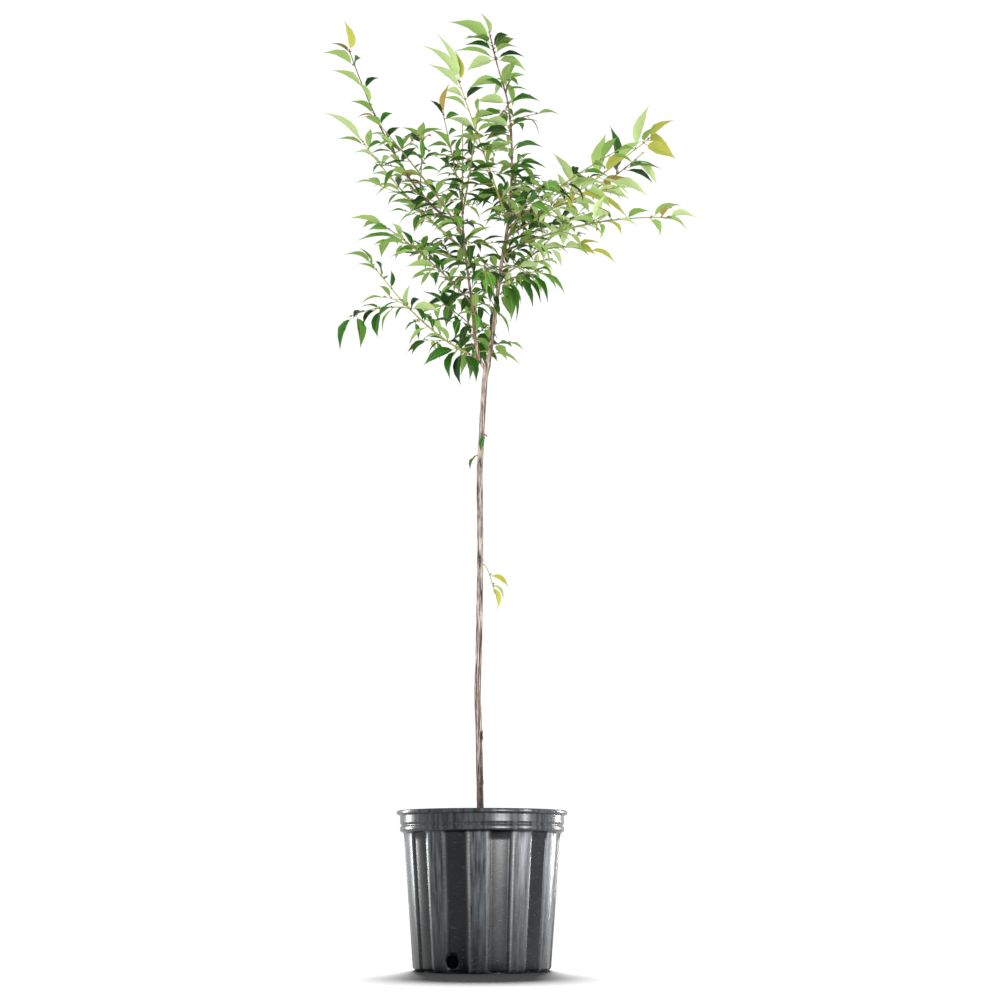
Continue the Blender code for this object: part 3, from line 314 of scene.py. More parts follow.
# %% [markdown]
# ## Thickness of the limbs
#
# Wood tapers as it divides. The trunk loses less than a millimetre between the soil and the fork, with a
# flare at its foot. A leader falls quickly at first and then slowly, and a twig's foot is as thick as its
# length asks for.

# %% Radii of the limbs
SOIL_CROWN = 0.249
FORK_HEIGHT = 1.087
TRUNK_RADIUS = 0.0060
TRUNK_TOP_RADIUS = 0.0052
FLARE = 0.0030
FLARE_HEIGHT = 0.030
EAST_RADIUS = 0.0044
WEST_RADIUS = 0.0034
LEADER_TIP_RADIUS = 0.0010
LEADER_TAPER = 0.8
TWIG_TIP_RADIUS = 0.0008
TWIG_RADIUS_PER_METRE = 0.0045


def twig_radii(line):
    """Radius along a twig, straight from foot to tip: foot = tip + length x radius per metre."""
    along = lengths_along(line)
    foot = TWIG_TIP_RADIUS + TWIG_RADIUS_PER_METRE * along[-1]
    return foot + (TWIG_TIP_RADIUS - foot) * along / along[-1]


def leader_radii(line, foot, foot_height, tip_height):
    """Radius along a leader: foot + (tip - foot) share^taper, the share by height."""
    share = np.clip((line[:, 2] - foot_height) / (tip_height - foot_height), 0, 1)
    return foot + (LEADER_TIP_RADIUS - foot) * share ** LEADER_TAPER


def trunk_radii(line):
    """Radius along the trunk, straight from soil to fork, plus flare x share^2 near the soil."""
    share = np.clip((line[:, 2] - SOIL_CROWN) / (FORK_HEIGHT - SOIL_CROWN), 0, 1)
    low = np.clip(1 - (line[:, 2] - SOIL_CROWN) / FLARE_HEIGHT, 0, 1)
    return TRUNK_RADIUS + (TRUNK_TOP_RADIUS - TRUNK_RADIUS) * share + FLARE * low ** 2


def limb_radii(parent, line):
    """Radius at each point of a limb line that the shoots leave from."""
    if parent == WEST:
        return leader_radii(line, WEST_RADIUS, WEST_STATIONS[0][2], WEST_STATIONS[-1][2])
    east = leader_radii(line, EAST_RADIUS, FORK_HEIGHT, EAST_STATIONS[-1][2])
    return np.where(line[:, 2] <= FORK_HEIGHT, trunk_radii(line), east)


print("radii along the trunk", trunk_radii(smooth_line(TRUNK_STATIONS))[::STATION_STEPS].round(4))

# %% [markdown]
# ## The shoots
#
# Every shoot is one row: where it leaves its parent, which way it goes, how far it runs out and up, how it
# bows, and how many leaves of what size it carries. Modelling each by hand would give the same tree once. A
# table of design values and a rule can be changed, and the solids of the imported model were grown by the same
# rows and the same rule.

# %% Rows of the shoots
EAST_LEADER_TOP = 1.432
WEST_LEADER_TOP = 1.402
Leaf = namedtuple("Leaf", "root axis face length width arch fold tone")
Shoot = namedtuple("Shoot", "name parent height azimuth reach rise bow swing bare leaves "
                            "foot_leaf tip_leaf droop seed")
Fork = namedtuple("Fork", "shoot along azimuth reach rise bow leaves leaf_share droop bare")

# Shoots: parent limb and height on it, azimuth in degrees, reach, rise, bow and swing, bare share,
# number of leaves, blade length at the foot and at the tip, droop, and seed. Reach 0: the limb's own tip
SHOOTS = tuple(Shoot(*row) for row in (
    ("northwest", WEST, 1.347, -165, 0.220, 0.325, -0.060, -0.010, 0.12, 7, 0.042, 0.046, 0.10, 48),
    ("west_inner", WEST, 1.392, -130, 0.055, 0.160, 0.000, 0.000, 0.08, 6, 0.039, 0.042, 0.20, 852),
    ("west_high", WEST, 1.302, 150, 0.245, 0.280, -0.015, 0.005, 0.14, 9, 0.042, 0.058, 0.10, 838),
    ("west_middle", WEST, 1.202, -150, 0.190, 0.120, 0.010, 0.000, 0.14, 8, 0.043, 0.048, 0.10, 698),
    ("west_low", WEST, 1.097, 170, 0.210, 0.200, -0.025, -0.010, 0.10, 4, 0.048, 0.046, 0.50, 694),
    ("west_short", WEST, 1.152, 170, 0.050, 0.045, 0.005, -0.010, 0.08, 3, 0.040, 0.040, 0.90, 343),
    ("middle", EAST, 1.372, -140, 0.120, 0.250, 0.000, 0.000, 0.10, 7, 0.046, 0.066, 0.20, 581),
    ("northeast_front", EAST, 1.342, -15, 0.280, 0.170, -0.005, 0.005, 0.18, 10, 0.048, 0.070, 0.20, 473),
    ("northeast_back", EAST, 1.387, 20, 0.280, 0.165, -0.030, 0.000, 0.18, 9, 0.050, 0.074, 0.20, 221),
    ("east", EAST, 1.312, -25, 0.330, 0.015, 0.020, 0.000, 0.14, 10, 0.046, 0.048, 0.20, 48),
    ("southeast", EAST, 1.262, 35, 0.145, 0.130, -0.010, -0.005, 0.12, 8, 0.046, 0.052, 0.20, 745),
    ("southeast_low", EAST, 1.245, -45, 0.110, 0.000, 0.005, 0.000, 0.08, 6, 0.043, 0.043, 0.70, 938),
    ("front_high", WEST, 1.372, -80, 0.180, 0.125, -0.010, 0.000, 0.12, 11, 0.043, 0.045, 0.20, 726),
    ("front_west", WEST, 1.332, -120, 0.280, 0.110, 0.000, 0.005, 0.12, 12, 0.044, 0.046, 0.15, 464),
    ("front_middle", WEST, 1.257, -95, 0.255, 0.025, 0.020, 0.000, 0.12, 11, 0.043, 0.045, 0.20, 108),
    ("front_east", EAST, 1.357, -35, 0.245, 0.100, 0.010, 0.000, 0.12, 12, 0.048, 0.050, 0.20, 743),
    ("front_right", EAST, 1.322, -75, 0.280, 0.020, 0.020, 0.000, 0.12, 12, 0.044, 0.046, 0.25, 824),
    ("front_low", EAST, 1.207, -95, 0.210, -0.020, 0.045, -0.010, 0.08, 10, 0.043, 0.045, 0.60, 1),
    ("back_high", EAST, 1.417, 85, 0.200, 0.080, 0.020, 0.020, 0.08, 11, 0.045, 0.047, 0.20, 685),
    ("back_west", WEST, 1.277, 125, 0.280, 0.130, 0.005, 0.010, 0.12, 12, 0.045, 0.047, 0.20, 604),
    ("back_left", WEST, 1.222, 105, 0.245, 0.050, 0.010, -0.010, 0.12, 12, 0.043, 0.045, 0.30, 392),
    ("back_right", EAST, 1.277, 75, 0.250, 0.065, 0.015, 0.005, 0.12, 12, 0.045, 0.047, 0.20, 449),
    ("back_east", EAST, 1.332, 50, 0.245, 0.130, 0.000, -0.005, 0.12, 11, 0.047, 0.050, 0.20, 44),
    ("back_low", WEST, 1.132, 90, 0.215, 0.035, 0.020, 0.005, 0.08, 11, 0.046, 0.048, 0.50, 871),
    ("spur_west_high", WEST, 1.352, 175, 0.050, 0.020, 0.005, 0.000, 0.08, 6, 0.040, 0.042, 0.15, 548),
    ("spur_west_middle", WEST, 1.247, 60, 0.065, 0.010, 0.020, 0.010, 0.08, 7, 0.040, 0.043, 0.20, 847),
    ("spur_west_low", WEST, 1.192, 30, 0.050, 0.005, 0.010, 0.000, 0.08, 6, 0.041, 0.043, 0.70, 618),
    ("spur_east_high", EAST, 1.402, 170, 0.050, 0.030, 0.015, 0.000, 0.08, 6, 0.043, 0.045, 0.15, 290),
    ("spur_east_middle", EAST, 1.297, 20, 0.055, 0.045, 0.000, -0.010, 0.08, 7, 0.042, 0.044, 0.20, 523),
    ("spur_east_low", EAST, 1.232, 165, 0.045, 0.020, 0.025, 0.010, 0.08, 6, 0.042, 0.044, 0.65, 950),
    ("east_top", EAST, EAST_LEADER_TOP, 0, 0, 0, 0, 0, 0, 5, 0.049, 0.059, 0.20, 120),
    ("west_top", WEST, WEST_LEADER_TOP, 0, 0, 0, 0, 0, 0, 7, 0.042, 0.044, 0.25, 405),
    ("trunk_sprout", TRUNK, 0.712, -15, 0.026, -0.050, 0.016, 0.000, 0.40, 0, 0.034, 0.028, 0.60, 33),
    ("trunk_leaf_right", TRUNK, 0.953, -55, 0.014, -0.004, 0.002, 0.000, 0.50, 0, 0.030, 0.030, 2.20, 34),
    ("trunk_leaf_left", TRUNK, 0.913, -150, 0.012, -0.003, 0.002, 0.000, 0.50, 0, 0.030, 0.030, 1.30, 35),
))

print(len(SHOOTS), "shoots")

# %% Rows of the forks
# Side twigs that fork off a shoot, at a share along it
FORKS = tuple(Fork(*row) for row in (
    ("northwest", 0.26, 80, 0.020, 0.110, 0.000, 2, 0.85, 0.25, 0.25),
    ("west_low", 0.60, 182, 0.108, -0.016, 0.008, 1, 1.05, 1.30, 0.25),
    ("southeast", 0.55, 10, 0.100, 0.010, 0.006, 4, 1.00, 0.30, 0.25),
))
print(len(FORKS), "forks")

# %% [markdown]
# ## The outer leaves
#
# The leaves that make the crown's outline are laid out one by one, and the rest grow by rule. Each is a row
# of its foot, its tip, its turn to the eye and its tone. Foot and tip are places in the front view, in
# thousandths of its width, because that is how a crown is looked at and corrected.

# %% Layout of the outer leaves
# Leaves by shoot, with commas between them: foot across and down, tip across and down in the front view,
# how far the blade is turned from the line of sight in degrees, and tone, which holds painted light and shade
# as well as the leaf's own green. Above 0 a blade shows its underside, and below 0 its upper side
LAYOUT = {
    "northwest": """348 44 344 20 45 yellow, 346 41 330 43 15 bronze, 348 53 323 47 14 fresh,
        352 67 322 53 32 fresh, 361 88 332 70 34 fresh, 374 104 356 80 34 fresh, 353 66 361 58 -20 dark,
        366 88 380 78 -50 deep, 376 113 350 101 16 green, 384 125 366 115 28 green,
        386 122 393 113 -35 dark, 392 137 400 127 -50 deep, 397 148 377 133 30 fresh,
        404 159 417 147 -50 deep, 408 168 391 161 12 green, 411 173 390 171 48 fresh,
        424 195 408 192 40 fresh, 428 200 412 203 -45 deep, 424 139 424 121 55 fresh,
        421 141 402 127 28 green, 421 143 402 138 -35 deep, 422 160 406 156 10 dark,
        423 150 429 153 12 dark""",
    "west_inner": """444 116 430 100 -35 deep, 444 102 449 83 30 bronze, 445 119 460 115 -55 dark,
        446 136 457 131 -50 dark, 452 149 430 129 30 green, 453 152 440 154 -30 dark,
        450 146 426 148 25 green""",
    "west_high": """361 144 322 112 32 pale, 362 148 337 139 26 green, 367 151 371 128 65 fresh,
        370 159 353 153 20 pale, 379 169 366 153 24 fresh, 380 167 391 157 50 fresh,
        389 183 371 174 24 pale, 397 188 403 179 -45 deep, 408 200 387 193 10 green,
        417 208 400 203 28 fresh, 418 208 410 200 -55 deep, 433 220 450 214 -25 dark,
        440 228 462 222 15 green""",
    "west_middle": """384 230 349 218 22 fresh, 387 233 368 230 -45 green, 378 232 362 228 10 green,
        399 246 356 241 -14 green, 403 249 376 247 22 green, 410 250 401 230 -50 dark,
        417 252 441 253 -40 green, 420 258 411 240 -18 dark, 404 243 389 235 30 fresh,
        398 240 391 223 35 pale, 436 274 430 259 -25 dark, 445 271 433 256 -28 dark,
        437 273 436 287 -35 dark, 442 266 461 259 -30 green""",
    "west_low": """373 263 342 255 10 green, 374 265 358 247 12 green, 380 268 357 264 10 green,
        386 272 375 261 -10 dark, 396 284 391 270 -45 dark, 388 277 383 279 -30 dark,
        409 305 410 284 32 pale, 412 307 440 312 50 pale, 413 309 420 299 -30 deep,
        424 321 415 308 -40 dark, 432 330 423 312 -20 dark, 439 340 424 319 34 fresh,
        446 348 433 325 30 fresh, 442 350 428 337 -12 dark, 452 356 423 366 -45 dark,
        452 357 450 380 -30 dark, 458 358 461 386 -42 deep, 467 362 469 381 -38 green,
        474 366 476 383 -40 dark, 461 352 449 341 -14 deep, 352 318 340 351 -42 dark,
        358 318 360 349 -62 green, 365 316 353 319 -35 deep, 380 310 361 307 8 dark,
        392 308 379 317 -38 dark, 381 314 378 338 -42 dark, 378 315 363 326 -35 deep""",
    "west_short": """452 298 438 289 -55 deep, 440 298 422 291 -14 dark, 447 300 456 310 -35 dark,
        444 303 449 322 -45 dark, 450 316 454 340 -30 dark, 459 322 455 336 -50 dark""",
    "middle": """459 77 421 45 34 pale, 459 74 436 32 18 pale, 459 79 455 50 30 yellow,
        463 89 428 64 34 pale, 466 99 443 91 34 pale, 470 110 440 98 26 fresh, 478 132 447 118 34 pale,
        472 119 495 114 40 fresh, 473 97 484 87 -45 deep, 481 148 451 137 28 fresh,
        483 153 467 147 -14 dark, 479 134 464 131 -28 deep, 483 149 494 159 25 green,
        491 167 468 162 26 green, 489 165 493 150 20 green""",
    "northeast_front": """594 172 606 133 62 fresh, 613 160 642 141 48 fresh, 632 145 650 104 50 pale,
        641 140 656 126 25 green, 648 140 675 120 34 yellow, 647 141 668 146 26 yellow,
        643 143 676 159 62 yellow, 572 187 552 152 30 pale, 582 187 611 209 46 fresh,
        567 193 528 192 34 green, 578 196 571 211 40 yellow""",
    "northeast_back": """608 160 610 125 -34 dark, 632 156 657 186 40 pale, 620 163 662 169 -12 dark,
        603 171 648 196 44 pale, 622 166 653 183 -26 deep, 591 182 630 200 46 pale,
        582 180 570 168 -26 deep, 560 188 551 184 -30 deep, 612 165 621 161 -30 deep""",
    "east": """668 216 698 218 20 pale, 660 220 688 231 22 fresh, 651 220 682 205 34 fresh,
        662 217 673 208 20 bronze, 650 222 660 237 40 green, 626 222 650 211 34 green,
        618 224 639 228 14 pale, 599 219 600 240 25 green, 592 219 596 232 14 green,
        611 221 597 207 14 dark, 598 219 566 222 24 fresh, 584 216 598 212 30 green""",
    "southeast": """574 240 596 255 40 yellow, 576 238 601 243 20 yellow, 566 240 590 257 28 fresh,
        562 240 572 227 40 pale, 545 248 569 254 22 fresh, 536 252 553 255 12 dark""",
    "southeast_low": """542 268 565 294 -26 green, 534 262 551 272 -14 dark, 538 274 557 290 26 green,
        530 278 548 304 -30 dark, 524 280 541 304 -30 dark, 517 280 533 309 -48 dark,
        511 290 517 313 -50 dark, 512 272 523 291 -34 deep, 503 285 516 323 -26 dark,
        500 296 510 323 -50 green, 520 268 534 280 -35 deep""",
    "east_top": """491 36 480 12 18 pale, 490 47 448 22 42 fresh, 487 52 464 45 -26 dark,
        488 44 464 39 10 green, 493 49 515 39 46 green, 494 47 509 35 -45 deep, 494 53 519 48 18 fresh,
        496 58 525 57 -24 deep, 495 60 527 72 38 fresh, 506 83 518 60 56 green, 495 60 466 72 50 pale,
        494 58 454 51 26 fresh, 503 82 468 89 46 fresh, 504 91 484 80 -35 dark, 508 103 474 102 46 pale,
        508 103 540 101 -22 dark, 510 117 533 113 -26 dark, 511 124 532 120 28 dark,
        510 127 481 122 44 pale, 509 130 483 134 -40 deep, 510 132 485 141 42 green,
        512 151 543 147 -22 dark, 511 153 488 149 36 fresh, 513 168 537 170 -18 dark,
        512 168 494 165 34 fresh""",
    "west_top": """463 165 480 170 -28 deep, 463 168 440 168 -22 deep, 462 160 456 162 -40 deep,
        463 178 490 181 -34 dark, 463 178 448 190 -45 green""",
    "trunk_sprout": """491 568 509 588 -35 yellow, 491 586 497 611 40 yellow, 491 584 504 600 20 pale""",
    "trunk_leaf_right": """484 436 481 453 -55 dark""",
    "trunk_leaf_left": """479 457 470 470 -35 dark""",
}
print(len(LAYOUT), "shoots with a layout")


# %% Rows of the layout
def leaf_rows(text):
    """A row for each leaf of a layout text: five whole numbers and a tone."""
    return [(*map(int, numbers), tone) for *numbers, tone in map(str.split, text.split(","))]


SEEN_LEAVES = {name: leaf_rows(text) for name, text in LAYOUT.items()}
print(sum(len(rows) for rows in SEEN_LEAVES.values()), "leaves laid out")

# %% [markdown]
# ## How leaves stand on a shoot
#
# Cherry leaves stand in a spiral, each about 137.5 degrees on from the last, they lean towards the tip of
# the shoot and turn their upper side to the sky. The rule adds a little chance to each angle and size from a
# random generator seeded by the shoot, so that the tree grows the same way each time the script runs. A leaf
# is an arc that leaves the twig along its axis and bends to its underside, with its two halves folded up.

# %% Values of the rule
# Leaves along a twig: how they crowd towards its tip, and their spiral round it, in degrees
LEAF_CROWDING = 0.92
PLACE_CHANCE = 0.3
GOLDEN_TURN = 137.5
SPIRAL_CHANCE = 18
RETRY_TURN = 35
LEVELNESS = 0.6
LEAF_INSET = 0.002

# Angle between leaf and twig at the twig's foot, its fall towards the tip, and its chance, in degrees
SPREAD = 60
SPREAD_FALL = 22
SPREAD_CHANCE = 14
TIP_SPREAD = (2, 14)

# How leaves hang and face
DROOP_CHANCE = (0.6, 1.4)
DROOP_EASE = 0.4
FACE_ONWARD = 0.35
FACE_MIN = 0.2
FACE_ROLL = 18
LIFT_KEPT = 0.55

# Size and shape of a leaf: chance in its length, and shares of the blade's length
LENGTH_CHANCE = (0.78, 1.18)
NEAR_TIP = 0.8
NEAR_TIP_LENGTH = 0.85
WIDTH_SHARE = (0.36, 0.46)
ARCH_SHARE = (0.10, 0.32)
FOLD_DEGREES = (12, 36)
STALK_SHARE = 0.14
INNER_SHARE = 0.66
print("leaves stand", GOLDEN_TURN, "degrees on from each other")

# %% Directions and arched lines
STEEP = 0.15


def turned(v, axis, angle):
    """The vector turned about a unit axis (Rodrigues' formula)."""
    return (v * math.cos(angle) + np.cross(axis, v) * math.sin(angle)
            + axis * np.dot(axis, v) * (1 - math.cos(angle)))


def arched_line(start, azimuth, reach, rise, bow, swing, steps):
    """A line that runs out by reach and up by rise, bowed up by bow and sideways by swing."""
    t = np.linspace(0, 1, steps + 1)[:, None]
    turn = math.radians(azimuth)
    out = np.array([math.cos(turn), math.sin(turn), 0.0])
    side = np.array([-math.sin(turn), math.cos(turn), 0.0])
    hump = 4 * t * (1 - t)
    return start + reach * t * out + (rise * t + bow * hump) * UP + swing * hump * side


def side_frame(along):
    """Two unit vectors square to a direction: one as near to upright as it gets, one level."""
    upright = UP - np.dot(UP, along) * along
    if np.linalg.norm(upright) < STEEP:
        upright = FRONT - np.dot(FRONT, along) * along
    upright = unit(upright)
    return upright, np.cross(along, upright)


print("top of a bow", arched_line(0 * UP, azimuth=0, reach=1, rise=0, bow=0.1, swing=0, steps=2)[1])

# %% Outline of a leaf
# Skew, bluntness and how far the tip is drawn out, for the blade as the clearance rule takes it
CLEARANCE_OUTLINE = (0.62, 0.8, 0.9)
CLEARANCE_STATIONS = 8
FOOT_POINTS = 2


def half_outline(share, skew, blunt, drawn):
    """Half width of an egg shape with a drawn-out tip: 0.5 sin(pi share^skew)^(blunt + drawn share)."""
    share = np.clip(share, 0, 1)
    return 0.5 * np.sin(math.pi * share ** skew) ** (blunt + drawn * share)


def leaf_midrib(leaf, t):
    """The midrib bends to the leaf's underside: foot + length x (axis t - face x arch t^2)."""
    t = np.asarray(t, float)[..., None]
    return leaf.root + leaf.length * (leaf.axis * t - leaf.face * leaf.arch * t * t)


def leaf_margins(leaf, t):
    """Points of both margins, raised to the sides by the leaf's fold."""
    across = unit(np.cross(leaf.face, leaf.axis))
    half = leaf.width * half_outline((np.asarray(t) - STALK_SHARE) / (1 - STALK_SHARE), *CLEARANCE_OUTLINE)
    lift = leaf.face * math.sin(leaf.fold)
    spread = across * math.cos(leaf.fold)
    middle = leaf_midrib(leaf, t)
    return middle + (lift + spread) * half[:, None], middle + (lift - spread) * half[:, None]


def leaf_points(leaf):
    """Points spread over a leaf, for the clearance rule. The first FOOT_POINTS are those next to its twig."""
    rib = np.linspace(STALK_SHARE, 1.0, CLEARANCE_STATIONS)
    return np.vstack([leaf_midrib(leaf, rib), *leaf_margins(leaf, rib[1:-1])])


print("half way along, the margin is at", half_outline(0.5, *CLEARANCE_OUTLINE).round(3), "of the width")

# %% A leaf drawn by the rule
def drawn_leaf(line, along, shoot, number, attempt, key=0):
    """One leaf of a twig: a golden-angle spiral with a little seeded chance.

    Outward = cos(turn) level + levelness sin(turn) upright, axis = cos(spread) onward + sin(spread) outward,
    less some droop, and its upper side faces the sky and a little onward.
    """
    chance = np.random.default_rng((shoot.seed, key, number, attempt))
    share = number / max(shoot.leaves - 1, 1)
    end = INNER_SHARE if shoot.name in SEEN_LEAVES and key == 0 else 1.0
    last = number == shoot.leaves - 1 and end == 1.0
    place = shoot.bare + (end - shoot.bare) * share ** LEAF_CROWDING
    shift = 0.0 if last else chance.uniform(-PLACE_CHANCE, PLACE_CHANCE) * (1 - shoot.bare) / shoot.leaves
    distance = max((place + shift) * along[-1], shoot.bare * along[-1] + LEAF_INSET)
    distance = min(distance, along[-1] - LEAF_INSET)
    root = point_along(line, along, distance)
    ahead = point_along(line, along, distance + LEAF_INSET)
    onward = unit(ahead - point_along(line, along, distance - LEAF_INSET))
    upright, level = side_frame(onward)
    turn = GOLDEN_TURN * (number + shoot.seed) + chance.uniform(-SPIRAL_CHANCE, SPIRAL_CHANCE)
    spiral = math.radians(turn + RETRY_TURN * attempt)
    outward = unit(math.cos(spiral) * level + LEVELNESS * math.sin(spiral) * upright)
    if last:
        spread = math.radians(chance.uniform(*TIP_SPREAD))
    else:
        spread = math.radians(SPREAD - SPREAD_FALL * share + chance.uniform(-SPREAD_CHANCE, SPREAD_CHANCE))
    axis = math.cos(spread) * onward + math.sin(spread) * outward
    axis = axis * (1.0, 1.0, LIFT_KEPT if axis[2] > 0 else 1.0)
    axis = unit(axis - shoot.droop * chance.uniform(*DROOP_CHANCE) * (1 - DROOP_EASE * share) * UP)
    face = UP + FACE_ONWARD * onward
    face = face - np.dot(face, axis) * axis
    if np.linalg.norm(face) < FACE_MIN:
        face = outward - np.dot(outward, axis) * axis
    face = turned(unit(face), axis, math.radians(chance.normal(0, FACE_ROLL)))
    blade = (shoot.foot_leaf + (shoot.tip_leaf - shoot.foot_leaf) * share) * chance.uniform(*LENGTH_CHANCE)
    if share > NEAR_TIP and not last:
        blade *= NEAR_TIP_LENGTH
    return Leaf(root, axis, face, blade / (1 - STALK_SHARE), blade * chance.uniform(*WIDTH_SHARE),
                chance.uniform(*ARCH_SHARE), math.radians(chance.uniform(*FOLD_DEGREES)), "")


# %% [markdown]
# ## A leaf of the layout
#
# A place in a view is a line of sight and not a point. The foot is the point of the twig that the line
# passes closest to. The tip lies as far along its own line of sight as the leaf is long, so that a leaf
# that looks short really points to the eye or away from it, and stays a leaf of full size from every side.

# %% Line of sight
EYE = np.array(CAMERA_PLACE)
VIEW_MIDDLE = IMAGE_SIDE / 2
VIEW_ONWARD = np.array([0.0, math.cos(CAMERA_PITCH), math.sin(CAMERA_PITCH)])
VIEW_UPWARD = np.array([0.0, -math.sin(CAMERA_PITCH), math.cos(CAMERA_PITCH)])
VIEW_SAMPLES = 120
LAYOUT_INSET = 0.005


def sight(across, down):
    """Direction from the eye to a place in the front view: onward + right - down, as shares of the lens."""
    right, below = (np.array([across, down]) - VIEW_MIDDLE) / FOCAL_PIXELS
    return VIEW_ONWARD + right * RIGHT - below * VIEW_UPWARD


def in_view(points):
    """Places of points in the front view, across and down: the middle + lens x (right, down) / onward."""
    away = points - EYE
    flat = np.stack([away[:, 0], -(away @ VIEW_UPWARD)], -1)
    return VIEW_MIDDLE + FOCAL_PIXELS * flat / (away @ VIEW_ONWARD)[:, None]


def foot_on_twigs(twigs, across, down):
    """The point of the twigs that is nearest to a place in the front view, and its share along its twig."""
    found = []
    for line, grows in twigs:
        along = lengths_along(line)
        low = grows.bare + LAYOUT_INSET / along[-1]
        shares = np.linspace(low, 1 - LEAF_INSET / along[-1], VIEW_SAMPLES)
        points = points_at(line, shares * along[-1])
        away = np.linalg.norm(in_view(points) - (across, down), axis=1)
        found.append((away.min(), tuple(points[away.argmin()]), shares[away.argmin()]))
    _, root, share = min(found)
    return np.array(root), share


print("the trunk's foot is at", in_view(np.array(TRUNK_STATIONS[:1])).round().tolist(), "in the front view")

# %% A laid out leaf
LEAST_CHORD = 1.02
LAYOUT_WIDTH = (0.40, 0.50)
LAYOUT_KEY = 99

# Tries for one leaf: longer by this much, turned on by so many degrees, tip behind the foot or not
LAYOUT_TRIES = ((1.0, 0, False), (1.0, 0, True), (1.3, 0, False), (1.3, 0, True),
                (1.1, 18, False), (1.1, -18, True))


def seen_leaf(twigs, shoot, number, attempt):
    """One leaf of the layout: its foot on a twig, its tip in the line of sight, its blade turned to the eye.

    The tip lies as far along its line of sight as the leaf is long, in front of the foot or behind it.
    """
    across, down, tip_across, tip_down, turn, tone = SEEN_LEAVES[shoot.name][number]
    stretching, tilting, behind = LAYOUT_TRIES[attempt]
    chance = np.random.default_rng((shoot.seed, LAYOUT_KEY, number))
    root, share = foot_on_twigs(twigs, across, down)
    way = sight(tip_across, tip_down)
    from_eye = root - EYE
    nearest_step = np.dot(way, from_eye) / np.dot(way, way)
    least = np.linalg.norm(EYE + nearest_step * way - root)
    wanted = (shoot.foot_leaf + (shoot.tip_leaf - shoot.foot_leaf) * share) * stretching
    chord = max(LEAST_CHORD * least, wanted)
    deeper = math.sqrt(chord ** 2 - least ** 2) / np.linalg.norm(way)
    tip = EYE + (nearest_step + (deeper if behind else -deeper)) * way
    onward = unit(tip - root)
    look = unit(from_eye)
    away = unit(look - np.dot(look, onward) * onward)
    level = np.cross(onward, away)
    level = level if level[2] > 0 else -level
    angle = math.radians(turn + tilting)
    face = math.cos(angle) * level + math.sin(angle) * away
    arch = chance.uniform(*ARCH_SHARE)
    bend = math.atan(arch)
    axis = math.cos(bend) * onward + math.sin(bend) * face
    face = math.cos(bend) * face - math.sin(bend) * onward
    return Leaf(root, axis, face, chord * math.cos(bend), chord * chance.uniform(*LAYOUT_WIDTH), arch,
                math.radians(chance.uniform(*FOLD_DEGREES)), tone)


# %% [markdown]
# ## Growing the whole plant
#
# Real leaves make room for each other. Here a leaf that would stand in a limb, in another shoot's leaves or
# in its neighbour is drawn again a few times, turned on round the twig, and then left out. That keeps every
# mass to its own space and every leaf whole.

# %% Lines of the shoots
BOUGH_FROM = 0.10
BOUGH_STEPS = 3
SHOOT_STEPS = 24
FORK_STEPS = 12


def shoot_line(shoot, limbs):
    """Middle line of a shoot, from the middle of its parent limb to its tip."""
    parent = limbs[shoot.parent]
    if shoot.reach == 0:
        return between_heights(parent, shoot.height, parent[-1, 2])
    return arched_line(at_height(parent, shoot.height), shoot.azimuth, shoot.reach, shoot.rise,
                       shoot.bow, shoot.swing, SHOOT_STEPS)


def has_bough(shoot):
    """Whether a shoot's bare foot is a limb of its own."""
    return shoot.bare >= BOUGH_FROM and shoot.parent != TRUNK


def bough_of(shoot, line):
    """Middle line and radii of a shoot's bare foot."""
    spread = np.linspace(0, shoot.bare * lengths_along(line)[-1], BOUGH_STEPS + 1)
    return points_at(line, spread), np.interp(spread, lengths_along(line), twig_radii(line))


def twigs_of(shoot, limbs):
    """A shoot's twigs, its stem first and then its forks, each with the shoot values it grows by."""
    line = shoot_line(shoot, limbs)
    twigs = [(line, shoot)]
    for fork in FORKS:
        if fork.shoot == shoot.name:
            foot = point_along(line, lengths_along(line), fork.along * lengths_along(line)[-1])
            side = arched_line(foot, fork.azimuth, fork.reach, fork.rise, fork.bow, 0.0, FORK_STEPS)
            grows = shoot._replace(leaves=fork.leaves, foot_leaf=shoot.foot_leaf * fork.leaf_share,
                                   tip_leaf=shoot.tip_leaf * fork.leaf_share, droop=fork.droop,
                                   bare=fork.bare)
            twigs.append((side, grows))
    return twigs


print(sum(map(has_bough, SHOOTS)), "shoots with a bare foot")

# %% Clearance
LEAF_TO_LEAF = 0.0065
LEAF_TO_LIMB = 0.004
OWN_LEAF_TO_LEAF = 0.0035


def stretches(owner, line, radii):
    """The straight stretches of a limb, as its owner's name, starts, ends and radii."""
    return owner, line[:-1], line[1:], np.maximum(radii[:-1], radii[1:])


def leader_stretches(limbs):
    """The stretches of the trunk with the east leader, and of the west leader."""
    return [stretches(parent, limbs[parent], limb_radii(parent, limbs[parent])) for parent in (EAST, WEST)]


def distance_to_limbs(points, starts, ends, radii):
    """Smallest distance from any of the points to any of the limb stretches' surfaces."""
    run = ends - starts
    t = np.clip(((points[:, None] - starts) * run).sum(2) / np.maximum((run * run).sum(1), TINY), 0, 1)
    near = starts + t[..., None] * run
    return (np.linalg.norm(points[:, None] - near, axis=2) - radii).min()


def nearest(points, others):
    """Smallest distance between two sets of points."""
    return np.linalg.norm(points[:, None] - others[None], axis=2).min()


